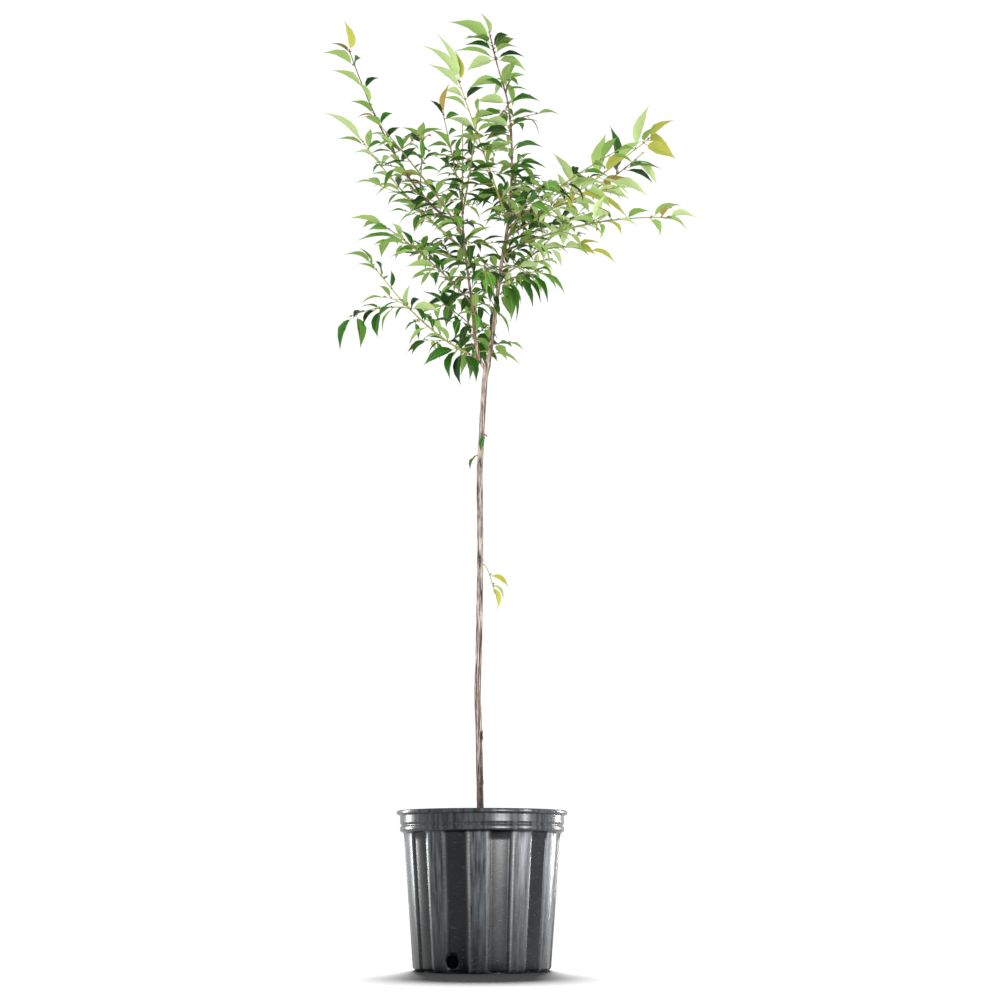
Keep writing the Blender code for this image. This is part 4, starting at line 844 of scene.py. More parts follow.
def is_clear(points, mine, shoot, limbs, leaves):
    """Whether a leaf's points keep clear of other limbs, other masses and its own neighbours."""
    for owner, starts, ends, radii in limbs:
        if owner not in (shoot.name, shoot.parent if shoot.reach == 0 else None):
            if distance_to_limbs(points, starts, ends, radii) < LEAF_TO_LIMB:
                return False
    for owner, others in leaves:
        if owner != shoot.name and nearest(points, others) < LEAF_TO_LEAF:
            return False
    return not mine or nearest(points[FOOT_POINTS:], np.vstack(mine)) > OWN_LEAF_TO_LEAF


# %% The grown plant
LEAF_TRIES = 6


def grown_plant():
    """Lines of the limbs, and for each shoot its twigs and the leaves that found room."""
    limbs = {TRUNK: smooth_line(TRUNK_STATIONS + EAST_STATIONS), WEST: smooth_line(WEST_STATIONS)}
    limbs[EAST] = limbs[TRUNK]
    twigs = {shoot.name: twigs_of(shoot, limbs) for shoot in SHOOTS}
    wood = leader_stretches(limbs)
    wood += [stretches(name, line, twig_radii(line)) for name, lines in twigs.items() for line, _ in lines]
    wood += [stretches(f"bough_{shoot.name}", *bough_of(shoot, twigs[shoot.name][0][0]))
             for shoot in SHOOTS if has_bough(shoot)]
    placed = []
    leaves = {shoot.name: [] for shoot in SHOOTS}
    taken = {shoot.name: [] for shoot in SHOOTS}

    def put_first_clear(shoot, tries):
        """Keeps the first leaf of several that stands clear."""
        for leaf in tries:
            points = leaf_points(leaf)
            if is_clear(points, taken[shoot.name], shoot, wood, placed):
                leaves[shoot.name].append(leaf)
                taken[shoot.name].append(points[FOOT_POINTS:])
                placed.append((shoot.name, points))
                return

    for shoot in SHOOTS:
        for number in range(len(SEEN_LEAVES.get(shoot.name, ()))):
            put_first_clear(shoot, (seen_leaf(twigs[shoot.name], shoot, number, attempt)
                                    for attempt in range(len(LAYOUT_TRIES))))
    for shoot in SHOOTS:
        for key, (line, grows) in enumerate(twigs[shoot.name]):
            along = lengths_along(line)
            for number in range(grows.leaves):
                put_first_clear(shoot, (drawn_leaf(line, along, grows, number, attempt, key)
                                        for attempt in range(LEAF_TRIES)))
    return limbs, twigs, leaves


limbs, twigs, leaves = grown_plant()
print(sum(len(found) for found in leaves.values()), "leaves on", len(SHOOTS), "shoots")

# %% [markdown]
# ## Plain finishes
#
# A leaf is a few pixels of one green, and there are hundreds of them, so a painted pattern would only blur
# when the model is exported. Leaves, twigs and buds take plain colours instead, and the variety comes from
# dealing out several greens by spray. The colours are given the way a screen shows them, from 0 to 255, and
# turned into the light values that a shader adds up.

# %% Colours and a plain finish
def light_value(colour):
    """Screen colour 0 to 255 as linear light: the sRGB curve, a short straight foot and a 2.4 power."""
    share = np.asarray(colour, float) / 255
    return np.where(share <= 0.04045, share / 12.92, ((share + 0.055) / 1.055) ** 2.4)


def new_finish(name, roughness, specular):
    """A new surface: the material, its node tree and its Principled shader."""
    material = bpy.data.materials.new(name)
    material.use_nodes = True
    shader = material.node_tree.nodes["Principled BSDF"]
    shader.inputs["Roughness"].default_value = roughness
    shader.inputs["Specular IOR Level"].default_value = specular
    return material, material.node_tree, shader


def plain_finish(name, colour, roughness, specular):
    """A Principled surface of one screen colour."""
    material, _, shader = new_finish(name, roughness, specular)
    shader.inputs["Base Color"].default_value = (*light_value(colour), 1.0)
    return material


print("a screen's middle grey is", light_value(128).round(3), "of full light")

# %% [markdown]
# ## The greens
#
# A cherry leaf is darker and glossier above and pale and matt below, and the veins are lighter than the
# blade. Seen from below against the light, the outer leaves look pale, and those near the leaders look dark.
# The tones hold that light and shade as well as the leaves' own greens: the pale and fresh ones are painted
# light, the deep and dark ones painted shade. So each tone has three colours: upper side, underside and
# midrib. The last two tones are the young leaves at the tips of the shoots, which are yellow or bronze.

# %% Tones of the leaves
TONES = {
    "deep": ((20, 54, 10), (46, 82, 24), (80, 110, 50)),
    "dark": ((42, 98, 14), (84, 130, 44), (112, 148, 70)),
    "green": ((80, 130, 38), (134, 170, 82), (152, 182, 104)),
    "fresh": ((112, 154, 56), (166, 196, 112), (184, 206, 132)),
    "pale": ((158, 190, 98), (200, 222, 152), (208, 224, 164)),
    "yellow": ((170, 170, 54), (188, 190, 84), (194, 196, 104)),
    "bronze": ((150, 118, 50), (174, 150, 80), (184, 162, 92)),
}
TONE_NAMES = list(TONES)
LEAF_SIDES = ("upper", "under", "rib")
LEAF_ROUGHNESS = (0.40, 0.60, 0.55)
LEAF_SPECULAR = (0.22, 0.09, 0.14)

leaf_finishes = [plain_finish(f"leaf_{tone}_{side}", *values)
                 for tone, colours in TONES.items()
                 for side, *values in zip(LEAF_SIDES, colours, LEAF_ROUGHNESS, LEAF_SPECULAR)]
print(len(leaf_finishes), "leaf finishes")

# %% Finishes of twigs, stalks and buds
TWIG_COLOURS = {
    "plum": (96, 70, 58),
    "brown": (126, 100, 68),
    "olive": (136, 138, 82),
    "lime": (166, 176, 98),
    "gold": (172, 166, 84),
}
TWIG_NAMES = list(TWIG_COLOURS)
STALK_COLOUR = (168, 158, 88)
BUD_COLOUR = (112, 74, 52)
YOUNG_WOOD = (0.55, 0.35)
BUD_SCALES = (0.60, 0.30)

twig_finishes = [plain_finish(f"twig_{name}", colour, *YOUNG_WOOD) for name, colour in TWIG_COLOURS.items()]
stalk_finish = plain_finish("leaf_stalk", STALK_COLOUR, *YOUNG_WOOD)
bud_finish = plain_finish("bud", BUD_COLOUR, *BUD_SCALES)
print(len(twig_finishes), "twig finishes")

# %% [markdown]
# ## Patterns for the larger surfaces
#
# Bark, moulded plastic and compost are large enough for a pattern. Each is built from the same few parts:
# noise on the object's own coordinates, a ramp that turns it into colours, a value that runs from one height
# to another, and a mixture of two colours. Small functions that return sockets keep each finish down to a
# few lines that read like a recipe.

# %% Noise and colour ramps
NOISE_ROUGHNESS = 0.6


def add_node(tree, kind, **values):
    """A shader node with its properties and constant inputs set."""
    node = tree.nodes.new(kind)
    for key, value in values.items():
        if hasattr(node, key):
            setattr(node, key, value)
        else:
            node.inputs[key.replace("_", " ")].default_value = value
    return node


def joined(source, target):
    """A link from one socket to another of the same tree."""
    source.id_data.links.new(source, target)


def noise_value(tree, scale, stretch, detail):
    """Noise on the object's coordinates, drawn out along the axes whose stretch is below 1."""
    place = add_node(tree, "ShaderNodeTexCoord")
    mapping = add_node(tree, "ShaderNodeMapping", Scale=stretch)
    noise = add_node(tree, "ShaderNodeTexNoise", Scale=scale, Detail=detail,
                     Roughness=NOISE_ROUGHNESS)
    joined(place.outputs["Object"], mapping.inputs["Vector"])
    joined(mapping.outputs["Vector"], noise.inputs["Vector"])
    return noise.outputs["Fac"]


def ramp_colour(value, stops):
    """The colour that a value picks from (place, screen colour) stops."""
    node = add_node(value.id_data, "ShaderNodeValToRGB")
    ramp = node.color_ramp
    ramp.elements[0].position, ramp.elements[1].position = stops[0][0], stops[-1][0]
    for place, _ in stops[1:-1]:
        ramp.elements.new(place)
    for stop, (_, colour) in zip(ramp.elements, stops):
        stop.color = (*light_value(colour), 1.0)
    joined(value, node.inputs["Fac"])
    return node.outputs["Color"]


# %% Values by height and by attribute
def run_between(value, low, high, at_low, at_high):
    """A value that runs from at_low to at_high while another runs from low to high, and is level beyond."""
    run = add_node(value.id_data, "ShaderNodeMapRange", From_Min=low, From_Max=high, To_Min=at_low,
                   To_Max=at_high)
    joined(value, run.inputs["Value"])
    return run.outputs["Result"]


def by_height(tree, low, high, at_low, at_high):
    """A value that runs from at_low to at_high between two heights of the object."""
    place = add_node(tree, "ShaderNodeTexCoord")
    split = add_node(tree, "ShaderNodeSeparateXYZ")
    joined(place.outputs["Object"], split.inputs["Vector"])
    return run_between(split.outputs["Z"], low, high, at_low, at_high)


def attribute_value(tree, name):
    """The value of one of the mesh's own attributes."""
    return add_node(tree, "ShaderNodeAttribute", attribute_name=name).outputs["Fac"]


# %% Mixing and bump
def product(first, second):
    """The product of two sockets."""
    times = add_node(first.id_data, "ShaderNodeMath", operation="MULTIPLY")
    joined(first, times.inputs[0])
    joined(second, times.inputs[1])
    return times.outputs[0]


def mixed_colour(factor, first, second):
    """Two colours mixed by a factor socket. The second is a socket or one screen colour."""
    mix = add_node(factor.id_data, "ShaderNodeMix", data_type="RGBA")
    factor_input, first_input, second_input = mix.inputs[0], mix.inputs[6], mix.inputs[7]
    joined(factor, factor_input)
    joined(first, first_input)
    if isinstance(second, tuple):
        second_input.default_value = (*light_value(second), 1.0)
    else:
        joined(second, second_input)
    return mix.outputs[2]


def bumped(height, strength, distance):
    """The normal of a surface with a bump from a height socket."""
    bump = add_node(height.id_data, "ShaderNodeBump", Strength=strength, Distance=distance)
    joined(height, bump.inputs["Height"])
    return bump.outputs["Normal"]


# %% [markdown]
# ## Bark
#
# The bark of a young cherry is smooth and satiny, grey-brown with paler patches, and crossed by corky
# lenticels, the short level dashes that a cherry is known by. It gets redder towards the fork, where the
# wood is younger, and darker towards the soil. An image would have to be wrapped round a bending
# stem. A pattern on the object's own coordinates needs no wrapping, and two attributes of the mesh, its
# relief and the age of the wood, say where the lenticels and the young wood are.

# %% Bark finish
# Noise: scale, stretch along the axes, detail. Ramps: places in the noise, and screen colours
BARK_STREAKS = (420.0, (1.0, 1.0, 0.06), 4.0)
BARK_PATCHES = (38.0, (1.0, 1.0, 0.45), 3.0)
OLD_BARK = ((0.38, (34, 27, 24)), (0.45, (84, 70, 62)), (0.53, (150, 135, 123)), (0.64, (214, 203, 190)))
YOUNG_BARK = ((0.38, (60, 40, 34)), (0.50, (138, 106, 88)), (0.62, (204, 172, 146)))
DARKER_LOW_BARK = ((0.40, (24, 17, 15)), (0.62, (92, 76, 70)))
PATCH_COVER = ((0.50, (0, 0, 0)), (0.66, (255, 255, 255)))
PATCH_COLOUR = (186, 172, 154)
CORK_COLOUR = (138, 112, 90)

# From one height to another, and how much there is of it at each
PATCHED_HEIGHTS = (0.30, 0.90, 0.05, 0.75)
DARKER_LOW_HEIGHTS = (0.285, 0.400, 0.93, 0.0)
BARK_ROUGHNESS = 0.55
BARK_SPECULAR = 0.3
BARK_BUMP = (0.5, 0.0003)


def bark_finish():
    """Streaks by noise, and over them patches, a darker foot, young wood and lenticels, each by its own value.
    """
    material, tree, shader = new_finish("cherry_bark", BARK_ROUGHNESS, BARK_SPECULAR)
    streaks = noise_value(tree, *BARK_STREAKS)
    cover = ramp_colour(noise_value(tree, *BARK_PATCHES), PATCH_COVER)
    patches = product(cover, by_height(tree, *PATCHED_HEIGHTS))
    colour = mixed_colour(patches, ramp_colour(streaks, OLD_BARK), PATCH_COLOUR)
    colour = mixed_colour(by_height(tree, *DARKER_LOW_HEIGHTS), colour, ramp_colour(streaks, DARKER_LOW_BARK))
    colour = mixed_colour(attribute_value(tree, "young"), colour, ramp_colour(streaks, YOUNG_BARK))
    colour = mixed_colour(attribute_value(tree, "lenticel"), colour, CORK_COLOUR)
    joined(colour, shader.inputs["Base Color"])
    joined(bumped(streaks, *BARK_BUMP), shader.inputs["Normal"])
    return material


bark = bark_finish()
print(len(bark.node_tree.nodes), "nodes in the bark")

# %% [markdown]
# ## Relief of the bark
#
# Bark is not a smooth tube. It has fine wrinkles along the stem, lenticels across it, and a knot wherever a
# side shoot was cut off. Each is a change of the ring's radius, so relief is an array as large as the
# surface: one number for each ring and each place round it. The wrinkles are white noise blurred by a
# Gaussian through the Fourier transform, which makes the noise join up round the limb.

# %% Wrinkles, lenticels and knots
DASH_WIDTH = (0.0010, 0.0026)
DASH_HEIGHT = 0.0006
DASH_REACH = 0.0035
KNOT_RISE = 0.34
KNOT_DISH = 0.20
DISH_SHARE = 0.45


def blurred_noise(rows, columns, row_blur, column_blur, seed):
    """White noise times a Gaussian in frequency: blurred by that many cells each way, of unit spread."""
    noise = np.random.default_rng(seed).normal(size=(rows, columns))
    row = np.fft.fftfreq(rows)[:, None] * row_blur
    column = np.fft.fftfreq(columns)[None] * column_blur
    blurred = np.fft.ifft2(np.fft.fft2(noise) * np.exp(-2 * math.pi ** 2 * (row ** 2 + column ** 2))).real
    return blurred / blurred.std()


def turn_between(a, b):
    """Angle from b to a, between minus and plus half a turn."""
    return (a - b + math.pi) % math.tau - math.pi


def dashes(along, turn, radii, count, seed):
    """Lenticels: exp(-(arc / width)^2 - (distance / height)^2) each, at a seeded place."""
    chance = np.random.default_rng(seed)
    cover = np.zeros((len(along), len(turn)))
    for place, angle, width in zip(chance.uniform(along[0], along[-1], count),
                                   chance.uniform(0, math.tau, count), chance.uniform(*DASH_WIDTH, count)):
        near = np.abs(along - place) < DASH_REACH
        arc = turn_between(turn, angle)[None] * radii[near, None]
        cover[near] += np.exp(-(arc / width) ** 2 - ((along[near, None] - place) / DASH_HEIGHT) ** 2)
    return np.clip(cover, 0, 1)


def knots(along, turn, radii, places):
    """Cut side shoots at (distance, angle, size): a Gaussian hump less a narrower Gaussian dish."""
    rise = np.zeros((len(along), len(turn)))
    for place, angle, size in places:
        arc = turn_between(turn, angle)[None] * radii[:, None]
        away = np.hypot(arc, along[:, None] - place) / size
        rise += size * (KNOT_RISE * np.exp(-away ** 2) - KNOT_DISH * np.exp(-(away / DISH_SHARE) ** 2))
    return rise


# %% [markdown]
# ## A limb with bark
#
# One function makes every barked limb: it adds the relief to the tapering radius, swells the foot where the
# limb leaves its parent, and keeps two attributes for the bark's finish, the lenticels and the age of
# the wood. Thin wood is young wood, so its age is read from the radius.

# %% Barked limb
RING_STEP = 0.0015
FEWEST_STEPS = 6
WRINKLE = 0.00012
LONG_WRINKLES = (9.0, 0.8)
SHORT_WRINKLES = (3.0, 1.5)
SHORT_WRINKLE_SHARE = 0.8
WRINKLED_RADIUS = 0.004
LEAST_WRINKLE = 0.3
LENTICEL_RISE = 0.00028
LENTICELS_PER_METRE = 330
LENTICELLED_RADIUS = 0.005
OLD_RADIUS = 0.0052
YOUNG_RADIUS = 0.0022
COLLAR_LENGTH = 0.006


def barked_limb(line, radii, sides, seed, knot_places=(), collar=0.0):
    """Shape of a limb and its attributes: ring radius = taper + collar + wrinkles + lenticels + knots."""
    length = lengths_along(line)[-1]
    count = max(int(length / RING_STEP), FEWEST_STEPS)
    spread = np.linspace(0, length, count)
    radii = np.interp(spread, lengths_along(line), radii)
    line = points_at(line, spread)
    turn = np.linspace(0, math.tau, sides, endpoint=False)
    lenticels = int(length * LENTICELS_PER_METRE * min(1, radii[0] / LENTICELLED_RADIUS))
    cover = dashes(spread, turn, radii, lenticels, seed)
    wrinkles = blurred_noise(count, sides, *LONG_WRINKLES, seed)
    wrinkles = wrinkles + SHORT_WRINKLE_SHARE * blurred_noise(count, sides, *SHORT_WRINKLES, seed + 1)
    surface = radii[:, None] * (1 + collar * np.exp(-(spread / COLLAR_LENGTH) ** 2))[:, None]
    surface = surface + WRINKLE * wrinkles * np.clip(radii / WRINKLED_RADIUS, LEAST_WRINKLE, 1)[:, None]
    surface = surface + LENTICEL_RISE * cover + knots(spread, turn, radii, knot_places)
    young = np.clip((OLD_RADIUS - radii) / (OLD_RADIUS - YOUNG_RADIUS), 0, 1)
    young = np.broadcast_to(young[:, None], cover.shape).ravel()
    values = np.append(cover.ravel(), [0, 0]), np.append(young, young[[0, -1]])
    return tube_shape(line, surface, sides), *values


# %% [markdown]
# ## The trunk and the leaders
#
# The trunk and the east leader are one stem, from just under the soil to the tip of the crown. The west
# leader starts inside it at the fork, where the two join in a crotch. The knots are where the nursery cut
# the side shoots off a bare stem, at distances above the soil. The last and largest is a cut-off branch.

# %% Trunk, leaders and boughs
STEM_FOOT = 0.2465
TRUNK_KNOTS = ((0.075, 1.3, 0.0036), (0.118, 3.4, 0.0042), (0.232, 0.4, 0.0030), (0.300, 2.2, 0.0034),
               (0.388, 4.6, 0.0030), (0.472, 1.0, 0.0034), (0.560, 5.6, 0.0030), (0.641, 2.7, 0.0036),
               (0.702, 0.2, 0.0030), (0.770, 4.0, 0.0034), (0.158, 1.57, 0.0085))
TRUNK_SIDES = 32
LEADER_SIDES = 20
BOUGH_SIDES = 12
LEADER_COLLAR = 0.25
BOUGH_COLLAR = 0.5
TRUNK_SEED, LEADER_SEED, BOUGH_SEED = 11, 23, 40

east_line = between_heights(limbs[EAST], STEM_FOOT, limbs[EAST][-1, 2])
west_line = between_heights(limbs[WEST], WEST_STATIONS[0][2], limbs[WEST][-1, 2])
barked = [barked_limb(east_line, limb_radii(EAST, east_line), TRUNK_SIDES, TRUNK_SEED, TRUNK_KNOTS),
          barked_limb(west_line, limb_radii(WEST, west_line), LEADER_SIDES, LEADER_SEED, (), LEADER_COLLAR)]
for number, shoot in enumerate(SHOOTS):
    if has_bough(shoot):
        barked.append(barked_limb(*bough_of(shoot, twigs[shoot.name][0][0]), BOUGH_SIDES, BOUGH_SEED + number,
                                  (), BOUGH_COLLAR))
limb_shapes, lenticel_values, young_values = zip(*barked)

bark_points, bark_faces, _ = stacked(limb_shapes)
bark_piece = put_mesh("bark_of_trunk_and_limbs", bark_points, bark_faces, [bark])
put_values(bark_piece, "lenticel", np.concatenate(lenticel_values))
put_values(bark_piece, "young", np.concatenate(young_values))
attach(bark_piece, "root")
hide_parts("trunk", "east_leader", "west_leader",
            *[f"bough_{shoot.name}" for shoot in SHOOTS if has_bough(shoot)])
print(len(barked), "barked limbs,", len(bark_faces), "faces")

# %% [markdown]
# ## Finer twigs and small leaves
#
# The solids hold the leaves that make the outline. A real crown has more: short spurs on the leaders with a
# rosette of leaves each, and on every long shoot a few side twigs with small leaves that stay in its
# shade. They fill the inside of the crown, and keep within the reach of the shoots. They grow by
# the rule above, so that they keep clear of every leaf that stands there already.

# %% Small twigs
# Kinds of small twig: scatter of the azimuth in degrees, reach, rise, leaves, length of the largest, seeds
Kind = namedtuple("Kind", "scatter reach rise leaves leaf first_seed")
SPUR = Kind(30, (0.014, 0.034), (0.000, 0.016), (4, 7), (0.038, 0.050), 2000)
SIDE_TWIG = Kind(40, (0.030, 0.060), (-0.006, 0.028), (4, 6), (0.032, 0.044), 5000)

# Both kinds: droop low in the crown and higher up, bow, swing, bare share and points of the line
LOW_DROOP = (0.25, 0.65)
LEVEL_DROOP = (-0.10, 0.18)
LEVEL_ABOVE = 1.24
SMALL_BOW = (-0.003, 0.004)
SMALL_SWING = (-0.004, 0.004)
SMALL_BARE = 0.18
SMALL_STEPS = 8
FOOT_LEAF_SHARE = 0.92

Spray = namedtuple("Spray", "name line radii leaves depth")


def small_twig(start, turn, kind, shoot, number, chance):
    """Line and growing values of a small twig: its leaves droop low in the crown and lie level higher up."""
    azimuth = turn + chance.uniform(-kind.scatter, kind.scatter)
    reach, rise = chance.uniform(*kind.reach), chance.uniform(*kind.rise)
    count, size = int(chance.integers(*kind.leaves)), chance.uniform(*kind.leaf)
    droop = chance.uniform(*(LEVEL_DROOP if start[2] > LEVEL_ABOVE else LOW_DROOP))
    line = arched_line(start, azimuth, reach, rise, chance.uniform(*SMALL_BOW), chance.uniform(*SMALL_SWING),
                       SMALL_STEPS)
    return line, shoot._replace(name="small", leaves=count, foot_leaf=size * FOOT_LEAF_SHARE, tip_leaf=size,
                                droop=droop, bare=SMALL_BARE, seed=kind.first_seed + number)


# %% Where small twigs stand
SPUR_SPACING = 0.034
SPUR_SHIFT = 0.008
SPUR_HEIGHTS = {WEST: (1.107, 1.507), EAST: (1.127, 1.697)}
SIDE_SPACING = 0.032
SIDE_SHARES = np.array([0.16, 0.62])
SHORTEST_WITH_SIDES = 0.14


def spur_twigs(limbs, chance):
    """Spurs up both leaders, each a golden turn on from the last, with their parent's name and depth 1."""
    found = []
    for parent, heights in SPUR_HEIGHTS.items():
        top = next(shoot for shoot in SHOOTS if shoot.name == f"{parent}_top")
        for number, height in enumerate(np.arange(*heights, SPUR_SPACING)):
            start = at_height(limbs[parent], height + chance.uniform(-SPUR_SHIFT, SPUR_SHIFT))
            twig = small_twig(start, GOLDEN_TURN * number, SPUR, top, len(found), chance)
            found.append((top.name, twig, 1.0))
    return found


def side_twigs(twigs, chance):
    """Side twigs on the inner part of every long shoot, with its name and their depth in the crown."""
    found = []
    for shoot in SHOOTS:
        line = twigs[shoot.name][0][0]
        along = lengths_along(line)
        if along[-1] < SHORTEST_WITH_SIDES or shoot.parent == TRUNK:
            continue
        for number, place in enumerate(np.arange(*(SIDE_SHARES * along[-1]), SIDE_SPACING)):
            start = point_along(line, along, place)
            turn = GOLDEN_TURN * (number + shoot.seed)
            twig = small_twig(start, turn, SIDE_TWIG, shoot, len(found), chance)
            found.append((shoot.name, twig, 1 - place / along[-1]))
    return found


# %% Small sprays that find room
INSIDE_BOX = 0.002
NEARBY = 0.13
SMALL_TWIG_RADII = (0.0009, TWIG_TIP_RADIUS * 0.7)
SPRAY_SEED = 7


def inside_box(points):
    """Whether all points stay inside the box of the solids."""
    low, high = np.array(CAD_BOX)
    return (points.min(0) > low + INSIDE_BOX).all() and (points.max(0) < high - INSIDE_BOX).all()


def grown_sprays(limbs, twigs, leaves):
    """Every small twig with those of its leaves that find room."""
    chance = np.random.default_rng(SPRAY_SEED)
    placed = [("", leaf_points(leaf)) for shoot in SHOOTS for leaf in leaves[shoot.name]]
    wood = leader_stretches(limbs)
    found = []
    for owner, (line, grows), depth in spur_twigs(limbs, chance) + side_twigs(twigs, chance):
        along = lengths_along(line)
        kept, mine = [], []
        for number in range(grows.leaves):
            for attempt in range(LEAF_TRIES):
                leaf = drawn_leaf(line, along, grows, number, attempt)
                points = leaf_points(leaf)
                nearby = [(name, other) for name, other in placed
                          if np.abs(other[0] - points[0]).max() < NEARBY]
                if inside_box(points) and is_clear(points, mine, grows, wood, nearby):
                    kept.append(leaf)
                    mine.append(points[FOOT_POINTS:])
                    placed.append(("", points))
                    break
        if kept:
            found.append(Spray(owner, line, np.linspace(*SMALL_TWIG_RADII, len(line)), kept, depth))
    return found


sprays = grown_sprays(limbs, twigs, leaves)
print(len(sprays), "small twigs with", sum(len(spray.leaves) for spray in sprays), "leaves")

# %% [markdown]
# ## Many thin tubes at once
#
# Stalks and buds repeat hundreds of times. Built one by one in a loop they would be slow, so all the
# stalks are one array with the leaf as its first axis, and each has only a dozen or two faces, because a
# stalk is less than a pixel wide.

# %% Tubes and leaves in one array
def repeated(points, faces, slots):
    """One shape for each leaf, (leaves, points, 3), with the same faces, as one shape."""
    count, per_shape = points.shape[:2]
    first = np.arange(count)[:, None, None] * per_shape
    every = np.where(faces[None] >= 0, faces[None] + first, -1).reshape(-1, 4)
    return points.reshape(-1, 3), every, np.broadcast_to(slots, (count, len(faces))).ravel()


def many_tubes(lines, radii, sides, slot):
    """Tubes along many lines of the same number of points: lines (n, points, 3), radii (points,)."""
    onward = unit(np.gradient(lines, axis=1))
    guide = np.where(np.abs(onward[..., 2:]) > NEARLY_ALONG, RIGHT, UP)
    first = unit(np.cross(onward, guide))
    second = np.cross(onward, first)
    turn = np.linspace(0, math.tau, sides, endpoint=False)[:, None]
    rings = (lines[:, :, None] + np.reshape(radii, (-1, 1, 1))
             * (np.cos(turn) * first[:, :, None] + np.sin(turn) * second[:, :, None]))
    steps = lines.shape[1]
    points = np.concatenate([rings.reshape(len(lines), -1, 3), lines[:, :1], lines[:, -1:]], axis=1)
    return repeated(points, closed_rings(steps, sides, steps * sides, steps * sides + 1), slot)


# %% [markdown]
# ## The colours of each spray
#
# A shoot's outer leaves stand in the light and take fresh or pale tones as painted light, and those near the
# leaders take deep green as painted shade.
# Each spray has its own mixture of tones, given as a list in which a tone may be named twice, the tone of
# the young leaves at its tip, and the colour of its twig. Leaves that hang or that have just opened are
# slimmer, so a spray may also have the breadth of its small leaves and of its large ones, as shares of the
# usual one.

# %% Mixture of tones for each spray
Mix = namedtuple("Mix", "inner outer tip twig small large", defaults=(1.0, 1.10))
MIXES = {
    "northwest": Mix("green dark", "green dark green fresh", "yellow bronze", "plum", 1.15, 1.10),
    "west_inner": Mix("dark deep", "dark green", "green", "olive"),
    "west_high": Mix("green dark", "fresh green fresh green", "fresh green", "lime", 1.20, 0.76),
    "west_middle": Mix("dark green", "green fresh green", "fresh", "olive"),
    "west_low": Mix("deep dark", "dark green dark fresh", "fresh", "lime"),
    "west_short": Mix("deep", "deep dark", "dark", "olive"),
    "middle": Mix("fresh green fresh", "pale fresh fresh", "pale fresh", "gold", 1.12, 0.90),
    "northeast_front": Mix("fresh pale pale", "pale pale yellow", "yellow pale", "gold", 1.10, 1.02),
    "northeast_back": Mix("fresh green pale", "pale pale fresh", "bronze yellow", "brown", 1.10, 1.05),
    "east": Mix("fresh pale", "pale fresh pale", "yellow pale", "olive", 1.10, 1.15),
    "southeast": Mix("fresh pale", "pale fresh pale", "pale yellow", "olive", 1.10, 1.15),
    "southeast_low": Mix("deep dark", "dark green", "green", "olive", 0.90, 0.80),
    "east_top": Mix("deep dark green", "fresh pale fresh green", "fresh", "plum", 1.15, 1.12),
    "west_top": Mix("deep dark green", "green fresh", "green", "lime"),
    "trunk_sprout": Mix("pale yellow", "pale yellow", "yellow", "lime"),
    "trunk_leaf_right": Mix("dark", "dark", "dark", "brown"),
    "trunk_leaf_left": Mix("dark", "dark", "dark", "brown"),
}
SHADED = Mix("deep dark deep", "dark deep green", "green", "olive")
print(len(MIXES), "sprays with a mixture of their own")

# %% Tones dealt out
TIP_SHARE = 0.88
OUTER_CHANCE = 0.15
LEAST_DEPTH = 0.4
LARGE_LEAF = 0.052
TONE_SEED = 19


def mix_of(name):
    """The mixture of a spray, which is the shaded one where it has none of its own."""
    return MIXES.get(name, SHADED)


def dealt(found, mix, depth, chance):
    """A twig's leaves with tone and breadth: from inner painted shade to outer painted light, young tones at
    its tip.
    """
    rows = []
    for number, leaf in enumerate(found):
        share = number / max(len(found) - 1, 1)
        if depth == 0 and share > TIP_SHARE:
            names = mix.tip
        else:
            names = mix.outer if chance.random() < share * (1 - depth) + OUTER_CHANCE else mix.inner
        drawn = chance.choice(names.split())
        rows.append((leaf, TONE_NAMES.index(leaf.tone or drawn),
                     mix.large if leaf.length > LARGE_LEAF else mix.small))
    return rows


chance = np.random.default_rng(TONE_SEED)
rows = []
for shoot in SHOOTS:
    rows += dealt(leaves[shoot.name], mix_of(shoot.name), 0, chance)
for spray in sprays:
    rows += dealt(spray.leaves, mix_of(spray.name), max(spray.depth, LEAST_DEPTH), chance)
leaf_list, leaf_tones, leaf_breadths = zip(*rows)
leaf_tones, leaf_breadths = np.array(leaf_tones), np.array(leaf_breadths)
leaf_arrays = Leaf(*(np.array(values) for values in zip(*leaf_list)))
print(len(leaf_list), "leaves;", {name: int((leaf_tones == k).sum()) for k, name in enumerate(TONE_NAMES)})

# %% [markdown]
# ## The leaf
#
# A cherry leaf is an egg shape with a drawn-out tip, folded a little along its midrib, with a toothed margin
# and side veins that make the blade ripple. A flat card with a cut-out picture is the cheap way, but it
# needs an image and has no thickness. This one is a closed mesh of some seventy faces: at each station
# along the midrib there are both margins, a point half way to each, the two edges of the midrib and
# two points underneath. The edges at the margins and at the midrib are kept sharp.

# %% Stations and midribs
LEAF_STATIONS = np.array([0.05, 0.14, 0.26, 0.39, 0.52, 0.65, 0.78, 0.90])
BLADE_OUTLINE = (0.74, 0.75, 0.85)
RIB_HALF_WIDTH = 0.00045
RIB_SHARE = 0.3
RIB_DEPTH = 0.00035
RIB_FOOT_WIDER = 1.5
BULGE = 0.07
RIPPLE = 0.035
TEETH = 0.035
MARGIN_WAVE = 0.05
WAVE_TURN = 1.9


def column(values):
    """One value for each leaf, shaped to multiply arrays (leaves, stations, 3)."""
    return np.asarray(values)[:, None, None]


def midribs(leaf, rows):
    """Points of every leaf's midrib: foot + length x (axis t - face x arch t^2) for each t of the rows."""
    return (leaf.root[:, None] + column(leaf.length)
            * (leaf.axis[:, None] * rows - leaf.face[:, None] * column(leaf.arch) * rows ** 2))


print(len(LEAF_STATIONS), "stations along each leaf")


